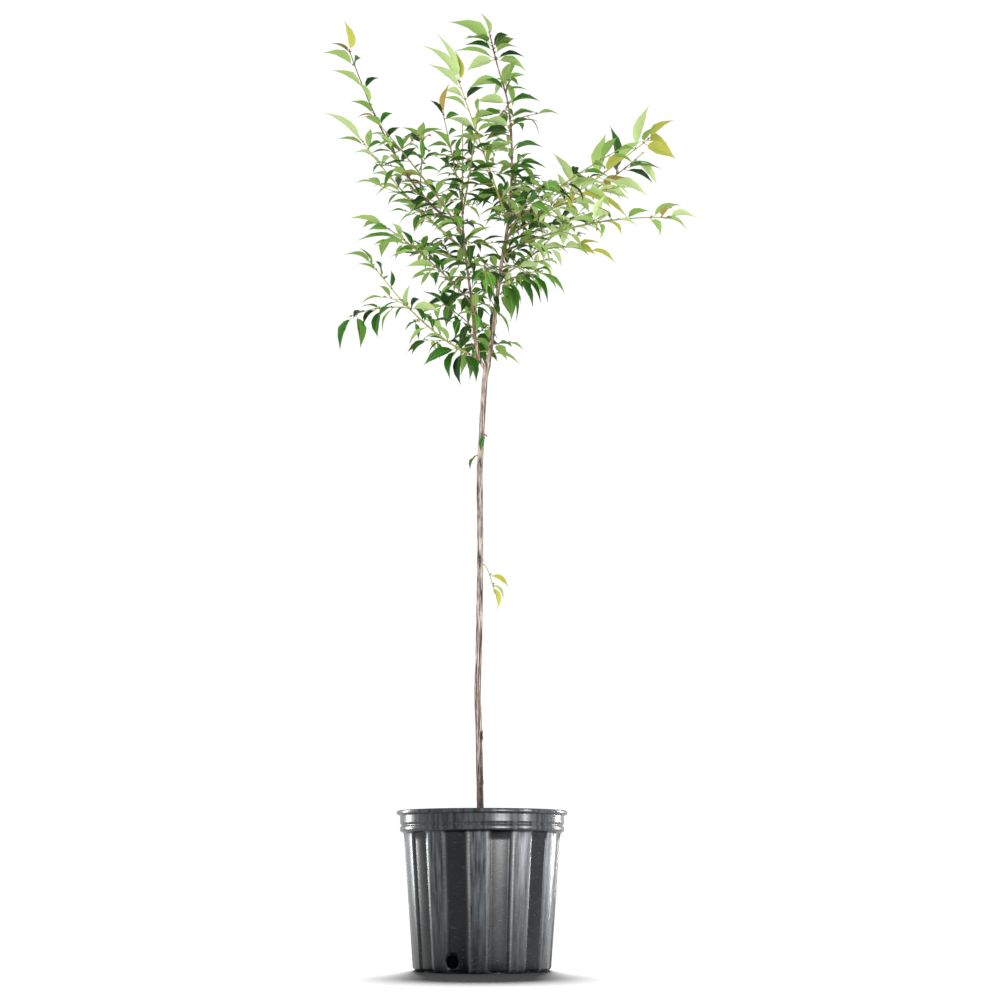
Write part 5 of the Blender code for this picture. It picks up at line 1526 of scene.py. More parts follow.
# %% Points of the leaves
def leaf_meshes(leaf, phases, slimness, sag):
    """Points (leaves, 2 + stations x 8, 3): base, tip, and per station a ring across the blade.

    Half width = width x slimness x outline(share), margin = midrib + half width x (fold up + fold out).
    A blade bends under its own weight, so its midrib stands above the straight line by
    sag x length x 4 t (1 - t), where t runs from the blade's foot to its tip.
    """
    rows = STALK_SHARE + (1 - STALK_SHARE) * np.concatenate([[0], LEAF_STATIONS, [1]])[None, :, None]
    blade = (rows - STALK_SHARE) / (1 - STALK_SHARE)
    skyward = unit(UP - leaf.axis[:, 2:] * leaf.axis)[:, None]
    spine = midribs(leaf, rows) + skyward * column(leaf.length * sag) * 4 * blade * (1 - blade)
    middle = spine[:, 1:-1]
    turn = np.arange(len(LEAF_STATIONS))[None, :, None]
    every_other = np.where(turn % 2, 1, -1)
    half = (column(leaf.width * slimness) * half_outline(LEAF_STATIONS, *BLADE_OUTLINE)[None, :, None]
            * (1 + TEETH * every_other))
    across = unit(np.cross(leaf.face, leaf.axis))[:, None]
    up, fold = leaf.face[:, None], column(leaf.fold)
    ripple = BULGE + RIPPLE * every_other
    wave = MARGIN_WAVE * np.sin(turn * WAVE_TURN + column(phases))
    rib = across * np.minimum(RIB_HALF_WIDTH, half * RIB_SHARE)

    def blade_point(side, share):
        """Point of the blade at a share of the way to one margin: the margin waves, the middle ripples."""
        lift = np.sin(fold) * share + (side * wave if share == 1 else ripple)
        return middle + half * (up * lift + side * across * np.cos(fold) * share)

    under = middle - up * RIB_DEPTH
    ring = [blade_point(1, 1.0), blade_point(1, 0.5), middle + rib, middle - rib, blade_point(-1, 0.5),
            blade_point(-1, 1.0), under - RIB_FOOT_WIDER * rib, under + RIB_FOOT_WIDER * rib]
    rings = np.stack(ring, axis=2).reshape(len(leaf.root), -1, 3)
    return np.concatenate([spine[:, :1], spine[:, -1:], rings], axis=1)


# %% Faces of the leaves and their sharp edges
# Round a ring of eight points: the colour of the face after each, as its place in LEAF_SIDES, and whether
# the point is on a sharp edge
RING_SIDES = np.array([0, 0, 2, 0, 0, 1, 2, 1])
RING_SHARP = np.array([True, False, True, True, False, True, False, False])
SLIMNESS = (0.66, 0.90)
SAG = (0.03, 0.10)
SHAPE_SEED = 5


def sharpened(piece, creased):
    """Marks the edges between creased points as sharp."""
    mesh = piece.data
    ends = np.empty(len(mesh.edges) * 2, np.int32)
    mesh.edges.foreach_get("vertices", ends)
    sharp = creased[ends.reshape(-1, 2)].all(1)
    mesh.attributes.new("sharp_edge", "BOOLEAN", "EDGE").data.foreach_set("value", sharp)


chance = np.random.default_rng(SHAPE_SEED)
phases = chance.uniform(0, math.tau, len(leaf_list))
slimness = chance.uniform(*SLIMNESS, len(leaf_list)) * leaf_breadths
sag = chance.uniform(*SAG, len(leaf_list))
stations = len(LEAF_STATIONS)
one_leaf = closed_rings(stations, len(RING_SIDES), 0, 1, True, 2)
one_leaf_sides = np.tile(RING_SIDES, stations + 1)
foliage_points, foliage_faces, foliage_slots = repeated(
    leaf_meshes(leaf_arrays, phases, slimness, sag), one_leaf,
    one_leaf_sides[None] + len(LEAF_SIDES) * leaf_tones[:, None])
foliage_piece = put_mesh("cherry_leaves", foliage_points, foliage_faces, leaf_finishes, foliage_slots)
creases = np.concatenate([[True, True], np.tile(RING_SHARP, stations)])
sharpened(foliage_piece, np.tile(creases, len(leaf_list)))
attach(foliage_piece, "root")
print(len(foliage_faces), "leaf faces")

# %% [markdown]
# ## Stalks and buds
#
# Each leaf stands on a short stalk that carries on into its midrib, and in the angle above it sits next
# year's bud, a small brown egg. Without them leaves seem stuck on to the twig.

# %% Leaf stalks and buds
STALK_PLACES = np.array([0.0, 0.5, 1.15])
STALK_RADII = np.array([0.00075, 0.00060, 0.00055])
STALK_LOWER = 0.001
BUD_LENGTH = 0.0042
BUD_RADII = np.array([0.0007, 0.0012, 0.0009, 0.0002])
BUD_LEAN = 0.9
BUD_OUT = 0.0006
THIN_SIDES = 5

stalk_lines = midribs(leaf_arrays, STALK_SHARE * STALK_PLACES[None, :, None])
stalk_lines = stalk_lines - column(leaf_arrays.length * STALK_LOWER) * leaf_arrays.face[:, None]
bud_way = unit(leaf_arrays.axis + BUD_LEAN * leaf_arrays.face)[:, None]
bud_rows = BUD_OUT + np.linspace(0, BUD_LENGTH, len(BUD_RADII))[None, :, None]
stalk_points, stalk_faces, stalk_slots = stacked([
    many_tubes(stalk_lines, STALK_RADII, THIN_SIDES, 0),
    many_tubes(leaf_arrays.root[:, None] + bud_way * bud_rows, BUD_RADII, THIN_SIDES, 1)])
stalk_piece = put_mesh("leaf_stalks_and_buds", stalk_points, stalk_faces, [stalk_finish, bud_finish],
                       stalk_slots)
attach(stalk_piece, "root")
print(len(stalk_faces), "stalk and bud faces")

# %% [markdown]
# ## Twigs
#
# A twig swells a little wherever a leaf leaves it, and it ends in a bud. Each one follows the line that its
# leaves were grown along, from the end of its bough or from inside its parent to its tip.

# %% Twigs with swollen nodes
NODE_SWELLING = 0.40
NODE_LENGTH = 0.0016
TWIG_STEP = 0.0020
TWIG_SIDES = 7
TIP_BUD = np.array([0.001, 0.0055])
TIP_BUD_RADII = np.array([1.5, 1.9, 1.3, 0.3])
OVER_LEADER = 0.0001


def noded_twig(line, radii, found, name):
    """A twig: taper x (1 + swelling at each leaf's foot), with an egg-shaped bud at its tip."""
    along = lengths_along(line)
    spread = np.linspace(0, along[-1], max(int(along[-1] / TWIG_STEP), FEWEST_STEPS))
    path = points_at(line, spread)
    swelling = np.zeros(len(spread))
    for leaf in found:
        away = np.linalg.norm(path - leaf.root, axis=1)
        if away.min() < TWIG_STEP:
            hump = np.exp(-((spread - spread[away.argmin()]) / NODE_LENGTH) ** 2)
            swelling = np.maximum(swelling, hump)
    radius = np.interp(spread, along, radii) * (1 + NODE_SWELLING * swelling)
    bud = path[-1] + unit(path[-1] - path[-2]) * np.linspace(*TIP_BUD, len(TIP_BUD_RADII))[:, None]
    return tube_shape(np.vstack([path, bud]), np.append(radius, radius[-1] * TIP_BUD_RADII), TWIG_SIDES,
                      TWIG_NAMES.index(mix_of(name).twig))


# %% All the twigs as one piece
def main_radii(shoot, line):
    """Radius along a shoot's line, a hair over the leader's where the shoot is the leader's own tip."""
    return limb_radii(shoot.parent, line) + OVER_LEADER if shoot.reach == 0 else twig_radii(line)


twig_shapes = [noded_twig(line, main_radii(shoot, line), leaves[shoot.name], shoot.name)
               for shoot in SHOOTS for line, _ in twigs[shoot.name]]
twig_shapes += [noded_twig(spray.line, spray.radii, spray.leaves, spray.name) for spray in sprays]
twig_points, twig_faces, twig_slots = stacked(twig_shapes)
twig_piece = put_mesh("twigs", twig_points, twig_faces, twig_finishes, twig_slots)
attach(twig_piece, "root")
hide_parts(*[f"foliage_{shoot.name}" for shoot in SHOOTS])
print(len(twig_shapes), "twigs,", len(twig_faces), "faces")

# %% [markdown]
# ## The pot
#
# The pot is a thin injection-moulded shell: a round wall pressed into eleven flutes, a band with a groove
# above them, and a rolled lip. Its outline could be turned on an axis and the flutes cut afterwards. It is
# quicker to write the radius as one formula of height and angle: outline(height) minus depth times a smooth
# step of the angle from the nearest rib.

# %% Outline of the pot
POT_HEIGHT = 0.272
RIM_RADIUS = 0.150
LIP_FOOT = 0.2635
LIP_HEIGHT = 0.002
BAND_RADIUS = 0.144
GROOVE_RADIUS = 0.1412
GROOVE_HEIGHT = 0.2465
GROOVE_HALF = 0.0035
BAND_FOOT = 0.237
BODY_TOP_RADIUS = 0.138
BODY_TOP = 0.233
BASE_RADIUS = 0.120
BASE_CORNER = 0.005
BASE_MIDDLE_RADIUS = 0.060
RIM_WALL_RADIUS = 0.1385
RIM_FLOOR = 0.239
RIM_FLOOR_FALL = 0.004
INNER_TOP_RADIUS = 0.1325
INNER_BASE_RADIUS = 0.1145
FLOOR_THICKNESS = 0.003
WALL_STATIONS = 15
WALL_ROUNDING = 0.0018
CORNER_STEPS = 4
CORNER_SHARE = 0.45


def rounded_outline(corners):
    """Outline of (radius, height, rounding) corners, each cut by a curve (1-t)^2 a + 2t(1-t) b + t^2 c."""
    *places, roundings = np.array(corners, float).T
    places = np.stack(places, -1)
    rows = [places[0]]
    for before, here, after, rounding in zip(places, places[1:], places[2:], roundings[1:]):
        to_before, to_after = before - here, after - here
        reach = min(rounding, *(CORNER_SHARE * np.linalg.norm(way) for way in (to_before, to_after)))
        start, end = here + reach * unit(to_before), here + reach * unit(to_after)
        t = np.linspace(0, 1, CORNER_STEPS)[:, None]
        rows.extend((1 - t) ** 2 * start + 2 * t * (1 - t) * here + t ** 2 * end)
    return np.array(rows + [places[-1]])


# %% Corners of the outline
wall_heights = np.linspace(BASE_CORNER, BODY_TOP, WALL_STATIONS)
wall_radii = (BASE_RADIUS + (BODY_TOP_RADIUS - BASE_RADIUS) * (wall_heights - BASE_CORNER)
              / (BODY_TOP - BASE_CORNER))
outline = rounded_outline([
    (0.0, 0.0, 0),
    (BASE_MIDDLE_RADIUS, 0.0, 0.001),
    (BASE_RADIUS - BASE_CORNER, 0.0, 0.002),
    *[(radius, height, WALL_ROUNDING) for radius, height in zip(wall_radii, wall_heights)],
    (BAND_RADIUS, BAND_FOOT, 0.002),
    (BAND_RADIUS, GROOVE_HEIGHT - GROOVE_HALF, 0.0012),
    (GROOVE_RADIUS, GROOVE_HEIGHT, 0.0015),
    (BAND_RADIUS, GROOVE_HEIGHT + GROOVE_HALF, 0.0012),
    (BAND_RADIUS, LIP_FOOT, 0.0008),
    (RIM_RADIUS, LIP_FOOT + LIP_HEIGHT, 0.0016),
    (RIM_RADIUS, POT_HEIGHT, 0.0028),
    (RIM_WALL_RADIUS, POT_HEIGHT, 0.0028),
    (RIM_WALL_RADIUS, RIM_FLOOR, 0.0015),
    (INNER_TOP_RADIUS, RIM_FLOOR - RIM_FLOOR_FALL, 0.002),
    (INNER_BASE_RADIUS, FLOOR_THICKNESS, 0.002),
    (0.0, FLOOR_THICKNESS, 0),
])
print(len(outline), "points on the pot's outline")

# %% Fluted shell
FLUTES = 11
FLUTE_DEPTH = 0.0032
RIB_AZIMUTH = math.radians(-92.4)
RIB_HALF = 0.205
FLUTE_SIDE = 0.090
COLUMNS_PER_FLUTE = 36
FLUTE_TOP = BODY_TOP + 0.0015
FLUTE_FADE = 0.003
FOOT_FADE = 0.002
UNDERSIDE_HEIGHT = 0.0002


def turned_rings(radii, heights, angles):
    """Rings (heights, angles, 3) round the pot's axis: (radius cos angle, radius sin angle, height)."""
    return np.stack(np.broadcast_arrays(radii * np.cos(angles), radii * np.sin(angles), heights), -1)


angles = RIB_AZIMUTH + np.linspace(0, math.tau, FLUTES * COLUMNS_PER_FLUTE, endpoint=False)
phase = (angles - RIB_AZIMUTH) / math.tau * FLUTES
from_rib = np.abs((phase + 0.5) % 1.0 - 0.5)
press = np.clip((from_rib - RIB_HALF) / FLUTE_SIDE, 0, 1)
press = press ** 2 * (3 - 2 * press)

radius, height = outline[1:-1].T
outer = np.arange(len(radius)) < np.argmax(height)
fluted = outer & (height > UNDERSIDE_HEIGHT) & (height < FLUTE_TOP)
fade = np.where(fluted, np.clip((FLUTE_TOP - height) / FLUTE_FADE, 0, 1), 0)
fade = fade * np.clip(height / FOOT_FADE, 0, 1)
shell_rings = turned_rings(radius[:, None] - FLUTE_DEPTH * press * fade[:, None], height[:, None], angles)
pot_points = np.vstack([shell_rings.reshape(-1, 3), [[0, 0, outline[0, 1]], [0, 0, outline[-1, 1]]]])
pot_faces = closed_rings(len(radius), len(angles), len(pot_points) - 2, len(pot_points) - 1)
print(len(pot_faces), "faces in the fluted shell")

# %% [markdown]
# ## Moulded plastic
#
# Nursery pots are black polypropylene, satin rather than glossy, with a fine grain from the mould and dust
# in patches. The ribs are rubbed paler than the grooves between them, because pots stand rib against rib in
# a stack, and their paleness is painted highlight as well, with upright streaks through it. A painted
# highlight runs along the ribs' edges, stronger on each rib's left edge, and the band above the wall is
# painted paler as highlight. All of it is painted lighter towards the top of the wall, as the light falls.
# Two attributes of the mesh say where the ribs and their edges are, and the height fades both.

# %% Black plastic with scuffs, dust and painted highlight
DUST = (26.0, (1.0, 1.0, 0.45), 6.0)
MOULD_GRAIN = (900.0, (1.0, 1.0, 1.0), 2.0)
SCUFFS = (120.0, (1.0, 1.0, 3.0), 5.0)
RIB_STREAKS = (150.0, (1.0, 1.0, 0.05), 3.0)
CLEAN_PLASTIC = ((0.35, (5, 6, 8)), (0.70, (17, 19, 22)))
# Ribs paler than the grooves from rubbing, and paler still as painted highlight
RIB_WEAR_AND_PAINTED_HIGHLIGHT = ((0.35, (24, 27, 30)), (0.68, (90, 94, 98)))
SCUFF_COVER = ((0.58, (0, 0, 0)), (0.80, (120, 120, 120)))
# Colour of the scuffs, and of the painted highlight along the ribs' edges
SCUFF_AND_HIGHLIGHT_COLOUR = (128, 130, 130)
# Painted highlight: ribs and their edges lighter towards the top of the wall, as the light falls
PAINTED_TOP_LIGHT_HEIGHTS = (0.0, BODY_TOP, 0.15, 1.0)
PLASTIC_ROUGHNESS = (0.18, 0.34)
PLASTIC_SPECULAR = 0.25
GRAIN_BUMP = (0.25, 0.0002)


def pot_finish():
    """Black plastic: dust and scuffs by noise, rubbed ribs with painted highlight by attributes rib and edge
    times height.
    """
    material, tree, shader = new_finish("moulded_black_plastic", PLASTIC_ROUGHNESS[0], PLASTIC_SPECULAR)
    dust, scuffs = noise_value(tree, *DUST), noise_value(tree, *SCUFFS)
    # Painted highlight, lighter towards the top of the wall
    higher = by_height(tree, *PAINTED_TOP_LIGHT_HEIGHTS)
    rubbed = ramp_colour(noise_value(tree, *RIB_STREAKS), RIB_WEAR_AND_PAINTED_HIGHLIGHT)
    # Rib paleness: rubbing and painted highlight
    ribs = product(attribute_value(tree, "rib"), higher)
    colour = mixed_colour(ribs, ramp_colour(dust, CLEAN_PLASTIC), rubbed)
    colour = mixed_colour(ramp_colour(scuffs, SCUFF_COVER), colour, SCUFF_AND_HIGHLIGHT_COLOUR)
    # Painted highlight along the ribs' edges, broken up by the scuff noise
    painted_edge_highlight = product(product(attribute_value(tree, "edge"), scuffs), higher)
    joined(mixed_colour(painted_edge_highlight, colour, SCUFF_AND_HIGHLIGHT_COLOUR), shader.inputs["Base Color"])
    joined(run_between(dust, 0.0, 1.0, *PLASTIC_ROUGHNESS), shader.inputs["Roughness"])
    joined(bumped(noise_value(tree, *MOULD_GRAIN), *GRAIN_BUMP), shader.inputs["Normal"])
    return material


# %% Painted highlight on the ribs, their edges and the band
# Painted highlight along the ribs' edges, stronger on each rib's left edge, where the light falls
LEFT_EDGE_HIGHLIGHT = 1.6
RIGHT_EDGE_HIGHLIGHT = 0.6
EDGE_WIDTH = 0.022
# The band above the wall is painted paler, as highlight
BAND_PAINTED_HIGHLIGHT = 0.42
BAND_PAINTED_HIGHLIGHT_FOOT = BAND_FOOT - 0.001

pot_piece = put_mesh("nursery_pot", pot_points, pot_faces, [pot_finish()])
# Painted highlight along the ribs' edges
edge_highlight = np.where((phase + 0.5) % 1.0 < 0.5, LEFT_EDGE_HIGHLIGHT, RIGHT_EDGE_HIGHLIGHT)
edge_highlight = edge_highlight * np.exp(-((from_rib - RIB_HALF) / EDGE_WIDTH) ** 2)
# Painted highlight on the band, carried in the rib attribute
band = BAND_PAINTED_HIGHLIGHT * (outer & (height > BAND_PAINTED_HIGHLIGHT_FOOT))
put_values(pot_piece, "rib", np.append((1 - press) * fade[:, None] + band[:, None], [0, 0]))
put_values(pot_piece, "edge", np.append(edge_highlight * fade[:, None], [0, 0]))
print(int((band > 0).sum()), "rings in the rubbed band")

# %% Drain holes
DRAIN_HOLES = 3
DRAIN_HOLE_RADIUS = 0.0112
DRAIN_HOLE_HEIGHT = 0.019
DRAIN_HOLE_AZIMUTH = math.radians(-114)
DRAIN_CUT_HALF = 0.010
DRAIN_SIDES = 48


def drain_cutter(number):
    """A short closed tube through the wall, square to it, that takes out one hole."""
    angle = DRAIN_HOLE_AZIMUTH + number * math.tau / DRAIN_HOLES
    outward = np.array([math.cos(angle), math.sin(angle), 0.0])
    path = outward * BASE_RADIUS + UP * DRAIN_HOLE_HEIGHT + outward * [[-DRAIN_CUT_HALF], [DRAIN_CUT_HALF]]
    points, faces, _ = tube_shape(path, np.full(2, DRAIN_HOLE_RADIUS), DRAIN_SIDES)
    return put_mesh(f"drain_cutter_{number}", points, faces, [], None, False)


# %% Drilled pot
def drilled(piece, cutters):
    """The piece with the cutters' solids taken out of it, and the cutters gone."""
    for number, cutter in enumerate(cutters):
        cut = piece.modifiers.new(f"hole_{number}", "BOOLEAN")
        cut.operation = "DIFFERENCE"
        cut.solver = "EXACT"
        cut.object = cutter
    graph = bpy.context.evaluated_depsgraph_get()
    solid = bpy.data.meshes.new_from_object(piece.evaluated_get(graph), depsgraph=graph)
    piece.modifiers.clear()
    piece.data = solid
    for cutter in cutters:
        bpy.data.objects.remove(cutter)


drilled(pot_piece, [drain_cutter(number) for number in range(DRAIN_HOLES)])
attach(pot_piece, "root")
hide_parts("pot")
print(len(pot_piece.data.polygons), "faces in the pot with", DRAIN_HOLES, "drain holes")

# %% [markdown]
# ## The filling
#
# The pot is filled with composted bark: dark crumbs with flat chips of bark and a few white grains of
# perlite. A bumpy disc alone would look like felt. So the filling is a closed body with a lumpy top, and
# loose chips and grains lie on it. It is mostly hidden below the rim, but it is seen from above.

# %% Body of the filling
SOIL_EDGE = 0.246
SOIL_SUNK = 0.002
SOIL_SIDE_GAP = 0.0006
SOIL_GAP = 0.002
SOIL_RINGS = 56
SOIL_COLUMNS = 180
INNER_RING_SHARE = 0.02
LUMP_HEIGHT = 0.0009
LUMP_BLUR = (1.6, 4.0)
LUMP_LIMIT = 0.0018
LUMP_EDGE_STEEPNESS = 12
LUMP_SEED = 61
FILLING_RADIUS = RIM_WALL_RADIUS - SOIL_SIDE_GAP


def mound_height(share):
    """Height of the smooth mound at a share of its radius: crown - (crown - edge) share^2."""
    return SOIL_CROWN - SOIL_SUNK - (SOIL_CROWN - SOIL_EDGE) * share ** 2


ring_share = np.linspace(INNER_RING_SHARE, 1, SOIL_RINGS)[:, None]
sweep = np.linspace(0, math.tau, SOIL_COLUMNS, endpoint=False)
lumps = np.minimum(blurred_noise(SOIL_RINGS, SOIL_COLUMNS, *LUMP_BLUR, LUMP_SEED) * LUMP_HEIGHT, LUMP_LIMIT)
lumps = lumps * np.clip((1 - ring_share) * LUMP_EDGE_STEEPNESS, 0, 1)
mound = mound_height(ring_share) + lumps
side_radii, side_heights = np.array([
    (FILLING_RADIUS, RIM_FLOOR + SOIL_GAP),
    (INNER_TOP_RADIUS - SOIL_GAP, RIM_FLOOR - 2 * SOIL_GAP),
    (INNER_BASE_RADIUS - SOIL_GAP, FLOOR_THICKNESS + SOIL_GAP / 2),
]).T[..., None]
soil_rings = np.concatenate([turned_rings(ring_share * FILLING_RADIUS, mound, sweep),
                             turned_rings(side_radii, side_heights, sweep)])
soil_points = np.vstack([soil_rings.reshape(-1, 3), [[0, 0, mound[0].mean()], [0, 0, side_heights[-1, 0]]]])
soil_faces = closed_rings(len(soil_rings), SOIL_COLUMNS, len(soil_points) - 2, len(soil_points) - 1, True)
print(len(soil_faces), "faces in the filling")

# %% Composted bark
CRUMBS = (260.0, (1.0, 1.0, 1.0), 6.0)
DRY_COMPOST = ((0.36, (34, 24, 18)), (0.52, (62, 44, 32)), (0.68, (104, 76, 54)))
# Painted shade: the compost below the rim's floor is almost black, as inside the pot
PAINTED_SHADE_COMPOST = ((0.0, (3, 3, 3)), (1.0, (10, 8, 7)))
COMPOST_SHADE_HEIGHTS = (RIM_FLOOR - RIM_FLOOR_FALL, RIM_FLOOR, 0.0, 1.0)
SOIL_ROUGHNESS = 0.92
SOIL_SPECULAR = 0.1
CRUMB_BUMP = (0.9, 0.002)


def soil_finish():
    """Compost: three browns by noise on top, almost black below the rim's floor as painted shade inside the
    pot.
    """
    material, tree, shader = new_finish("composted_bark", SOIL_ROUGHNESS, SOIL_SPECULAR)
    crumbs = noise_value(tree, *CRUMBS)
    # Painted shade below the rim's floor, the compost's own browns above it
    painted_shade, dry = ramp_colour(crumbs, PAINTED_SHADE_COMPOST), ramp_colour(crumbs, DRY_COMPOST)
    joined(mixed_colour(by_height(tree, *COMPOST_SHADE_HEIGHTS), painted_shade, dry), shader.inputs["Base Color"])
    joined(bumped(crumbs, *CRUMB_BUMP), shader.inputs["Normal"])
    return material


soil_piece = put_mesh("composted_filling", soil_points, soil_faces, [soil_finish()])
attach(soil_piece, "root")
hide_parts("potting_soil")
print(soil_piece.name, "rides on the frame")

# %% [markdown]
# ## Chips and grains
#
# A chip is a flat splinter with an uneven outline: a ring of six points, doubled for its thickness and
# pushed about by chance. A grain is the same shape made round and white. Each has ten faces, and all of
# them are one array, turned by random rotations and pressed half into the mound.

# %% Shapes of the bark chips and of the perlite
CHIPS = 2600
GRAINS = 170
CHIP_LENGTH = (0.004, 0.014)
LENGTH_POWER = 2.2
CHIP_WIDTH = (0.45, 0.75)
CHIP_THICKNESS = (0.0010, 0.0026)
CHIP_TOP = 0.86
GRAIN_SIZE = (0.0020, 0.0038)
GRAIN_WIDTH = 0.9
GRAIN_THICKNESS = 0.8
GRAIN_TOP = 0.62
UNEVENNESS = (0.72, 1.1)
UNDERSIDE_SHARE = 0.3
CHIP_TILT = 0.38
CHIP_RING = 6
CHIP_SEED = 77

chance = np.random.default_rng(CHIP_SEED)
pieces = CHIPS + GRAINS
grain = np.arange(pieces) >= CHIPS
grain_length = chance.uniform(*GRAIN_SIZE, pieces)
chip_length = chance.uniform(0, 1, pieces) ** LENGTH_POWER * np.ptp(CHIP_LENGTH) + CHIP_LENGTH[0]
length = np.where(grain, grain_length, chip_length)
width = length * np.where(grain, GRAIN_WIDTH, chance.uniform(*CHIP_WIDTH, pieces))
thickness = np.where(grain, length * GRAIN_THICKNESS, chance.uniform(*CHIP_THICKNESS, pieces))
corner = np.linspace(0, math.tau, CHIP_RING, endpoint=False)
uneven = chance.uniform(*UNEVENNESS, (pieces, CHIP_RING))
flat = np.stack([way * uneven * size[:, None] / 2
                 for way, size in ((np.cos(corner), length), (np.sin(corner), width))], -1)
level = np.broadcast_to(thickness[:, None, None] / 2, (pieces, CHIP_RING, 1))
top = np.concatenate([flat * np.where(grain, GRAIN_TOP, CHIP_TOP)[:, None, None], level], -1)
underside = np.concatenate([flat, -level * UNDERSIDE_SHARE], -1)
chip_points = np.concatenate([top, underside], 1)
print(chip_points.shape, "chips, points and coordinates")

# %% Scattered on the mound
TRUNK_CLEARANCE = 0.012
RIM_CLEARANCE = 0.002
CHIP_LIFT = (0.0, 0.0022)


def turned_about(points, axis, angle):
    """Points (n, k, 3) turned about one coordinate axis, each by its own angle."""
    first, second = [(1, 2), (2, 0), (0, 1)][axis]
    cosine, sine = np.cos(angle)[:, None], np.sin(angle)[:, None]
    out = points.copy()
    out[..., first] = points[..., first] * cosine - points[..., second] * sine
    out[..., second] = points[..., first] * sine + points[..., second] * cosine
    return out


tilt = chance.normal(0, CHIP_TILT, (pieces, 2))
spin = chance.uniform(0, math.tau, pieces)
for axis, angle in enumerate((tilt[:, 0], tilt[:, 1], spin)):
    chip_points = turned_about(chip_points, axis, angle)
reach = np.sqrt(chance.uniform((TRUNK_CLEARANCE / FILLING_RADIUS) ** 2, 1, pieces))
reach = np.maximum(reach * (FILLING_RADIUS - length / 2 - RIM_CLEARANCE), TRUNK_CLEARANCE + length / 2)
around = chance.uniform(0, math.tau, pieces)
lift = chance.uniform(*CHIP_LIFT, pieces)
heights = mound_height(reach / FILLING_RADIUS) + lift
places = np.stack([reach * np.cos(around), reach * np.sin(around), heights], -1)
chip_points = chip_points + places[:, None]
print("chips from", chip_points[..., 2].min().round(4), "to", chip_points[..., 2].max().round(4))

# %% Chips and grains as one piece
CHIP_COLOURS = ((58, 40, 28), (88, 62, 44), (118, 86, 60), (74, 58, 48))
CHIP_SURFACE = (0.85, 0.25)
PERLITE_COLOUR = (226, 224, 216)
PERLITE_SURFACE = (0.9, 0.2)
CHIP_SIDES = [(k, k + CHIP_RING, beside + CHIP_RING, beside)
              for k, beside in enumerate([*range(1, CHIP_RING), 0])]
CHIP_ENDS = [(0, 1, 2, 3), (0, 3, 4, 5), (9, 8, 7, 6), (11, 10, 9, 6)]

tone = np.where(grain, len(CHIP_COLOURS), chance.integers(0, len(CHIP_COLOURS), pieces))
crumb_points, crumb_faces, crumb_slots = repeated(chip_points, np.array(CHIP_SIDES + CHIP_ENDS),
                                                  tone[:, None])
chip_finishes = [plain_finish(f"bark_chip_{k}", colour, *CHIP_SURFACE)
                 for k, colour in enumerate(CHIP_COLOURS)]
chip_finishes.append(plain_finish("perlite", PERLITE_COLOUR, *PERLITE_SURFACE))
chip_piece = put_mesh("bark_chips_and_grains", crumb_points, crumb_faces, chip_finishes, crumb_slots, False)
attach(chip_piece, "root")
print(CHIPS, "chips and", GRAINS, "grains")

# %% [markdown]
# ## Floor and light
#
# The tree stands on a floor that runs on without an edge, in soft light from all round. In a studio the light
# on the floor and the light on the plant come from separate lamps, kept apart by flags. The same is done here
# with light linking: a strong soft sun from above and behind lights the floor alone, and only the pot with
# its filling stands in its way. The floor is grey, and the sun makes it white all over but for a soft shadow
# in front of the pot. On a white floor the light from all round would fill that shadow. The lamps at the pot
# draw the bright lines down its ribs, and light nothing else. A large soft lamp high on the left in front
# shapes the crown, and a weaker one on the right opens its shadows.

# %% Floor
FLOOR_COLOUR = (80, 80, 80)
FLOOR_SURFACE = (0.9, 0.0)
FLOOR_CORNERS = ((-40, -12, 0), (40, -12, 0), (40, 60, 0), (-40, 60, 0))

floor = put_mesh("floor", np.array(FLOOR_CORNERS, float), np.array([(0, 1, 2, 3)]),
                 [plain_finish("floor", FLOOR_COLOUR, *FLOOR_SURFACE)])
print("floor", floor.dimensions[0], "by", floor.dimensions[1], "m")

# %% World
WORLD_LIGHT = 1.06

world = bpy.data.worlds.new("white_surround")
world.use_nodes = True
world.node_tree.nodes["Background"].inputs["Color"].default_value = (1.0, 1.0, 1.0, 1.0)
world.node_tree.nodes["Background"].inputs["Strength"].default_value = WORLD_LIGHT
bpy.context.scene.world = world
print(world.name, WORLD_LIGHT)


# %% What each lamp lights
def group_of(name, *objects):
    """A collection that only light linking uses."""
    group = bpy.data.collections.new(name)
    for thing in objects:
        group.objects.link(thing)
    return group


floor_alone = group_of("floor_alone", floor)
pot_alone = group_of("pot_alone", pot_piece)
filled_pot = group_of("filled_pot", pot_piece, soil_piece)
plant = group_of("plant", foliage_piece, stalk_piece, twig_piece, bark_piece, soil_piece, chip_piece)

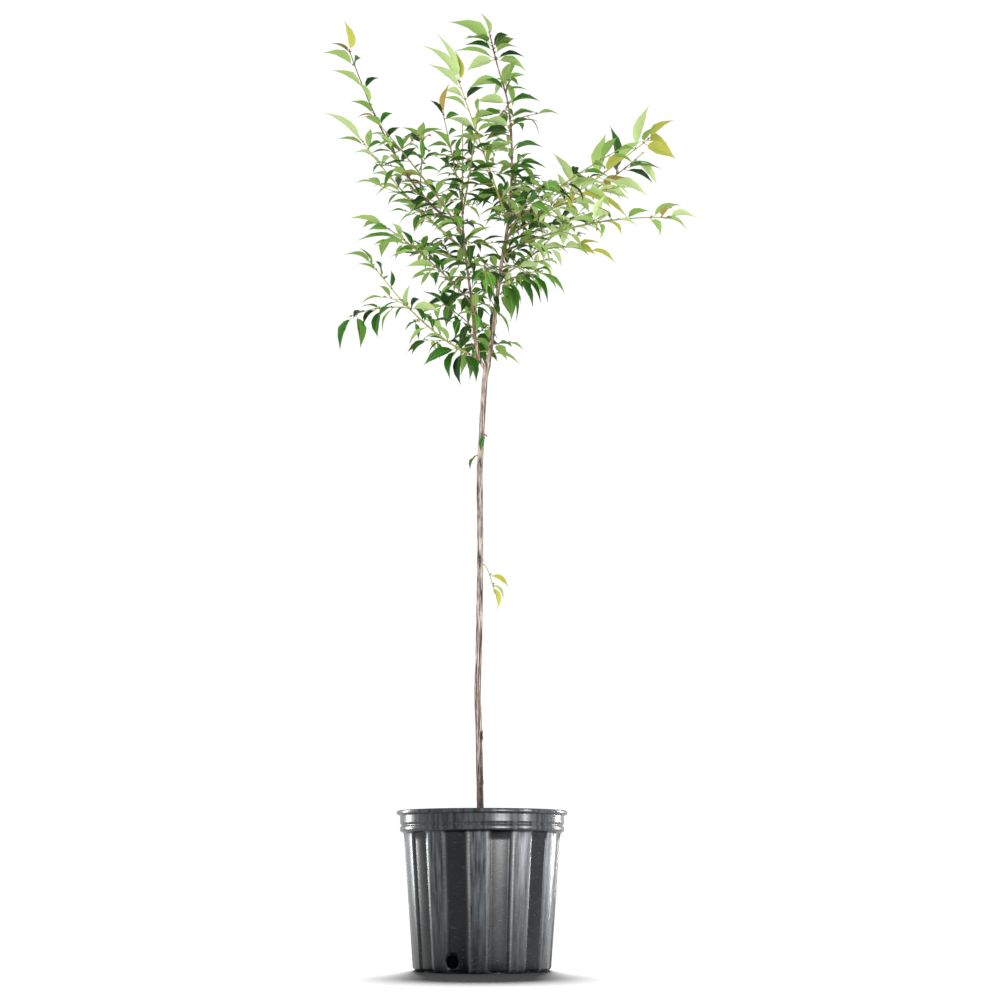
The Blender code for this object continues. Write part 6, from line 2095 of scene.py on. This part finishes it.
# %% Lamps
CROWN_MIDDLE = (0.0, 0.0, 1.3)
POT_MIDDLE = (0.0, 0.0, 0.2)
Lamp = namedtuple("Lamp", "name place aim width height power lights")
LAMPS = (
    Lamp("key_upper_left", (-1.9, -2.4, 3.2), CROWN_MIDDLE, 1.2, 1.2, 66.0, plant),
    Lamp("front", (1.1, -3.5, 1.1), (0.1, 0.0, 1.2), 0.6, 1.6, 24.0, plant),
    # These lamps draw real highlights on the ribs, beside the painted highlight in the pot's finish
    Lamp("pot_left", (-1.6, 0.9, 0.45), POT_MIDDLE, 0.22, 0.9, 36.0, pot_alone),
    Lamp("pot_front", (0.9, -1.8, 0.20), POT_MIDDLE, 0.50, 0.35, 40.0, pot_alone),
    Lamp("pot_right_front", (1.3, -0.75, 0.40), POT_MIDDLE, 0.10, 0.8, 24.0, pot_alone),
    Lamp("pot_right", (1.7, 1.4, 0.45), POT_MIDDLE, 0.12, 0.9, 30.0, pot_alone),
)


def hung(light, place, turn, lights):
    """A light at its place and turn that lights one group only and isn't seen itself."""
    holder = bpy.data.objects.new(light.name, light)
    holder.location = place
    holder.rotation_euler = turn
    holder.light_linking.receiver_collection = lights
    holder.visible_camera = False
    bpy.context.scene.collection.objects.link(holder)
    return holder


def turn_towards(place, aim):
    """Turn about X and then Z that points a light's own -Z from a place to its aim."""
    across, along, up = np.array(aim) - np.array(place)
    return math.atan2(math.hypot(across, along), -up), 0.0, math.atan2(-across, along)


for lamp in LAMPS:
    light = bpy.data.lights.new(lamp.name, "AREA")
    light.shape = "RECTANGLE"
    light.size, light.size_y, light.energy = lamp.width, lamp.height, lamp.power
    hung(light, lamp.place, turn_towards(lamp.place, lamp.aim), lamp.lights)

print(len(LAMPS), "lamps for the plant and the pot")

# %% Sun for the floor
SUN_STRENGTH = 56.0
SUN_SPREAD = math.radians(20)
SUN_TILT = math.radians(45)
SUN_PLACE = (0.0, 2.0, 4.0)

sun = bpy.data.lights.new("floor_light", "SUN")
sun.energy = SUN_STRENGTH
sun.angle = SUN_SPREAD
sun_holder = hung(sun, SUN_PLACE, (-SUN_TILT, 0.0, 0.0), floor_alone)
sun_holder.light_linking.blocker_collection = filled_pot
bpy.context.scene.view_settings.view_transform = "Standard"
bpy.context.scene.view_settings.look = "None"
print(sun.name, SUN_STRENGTH)
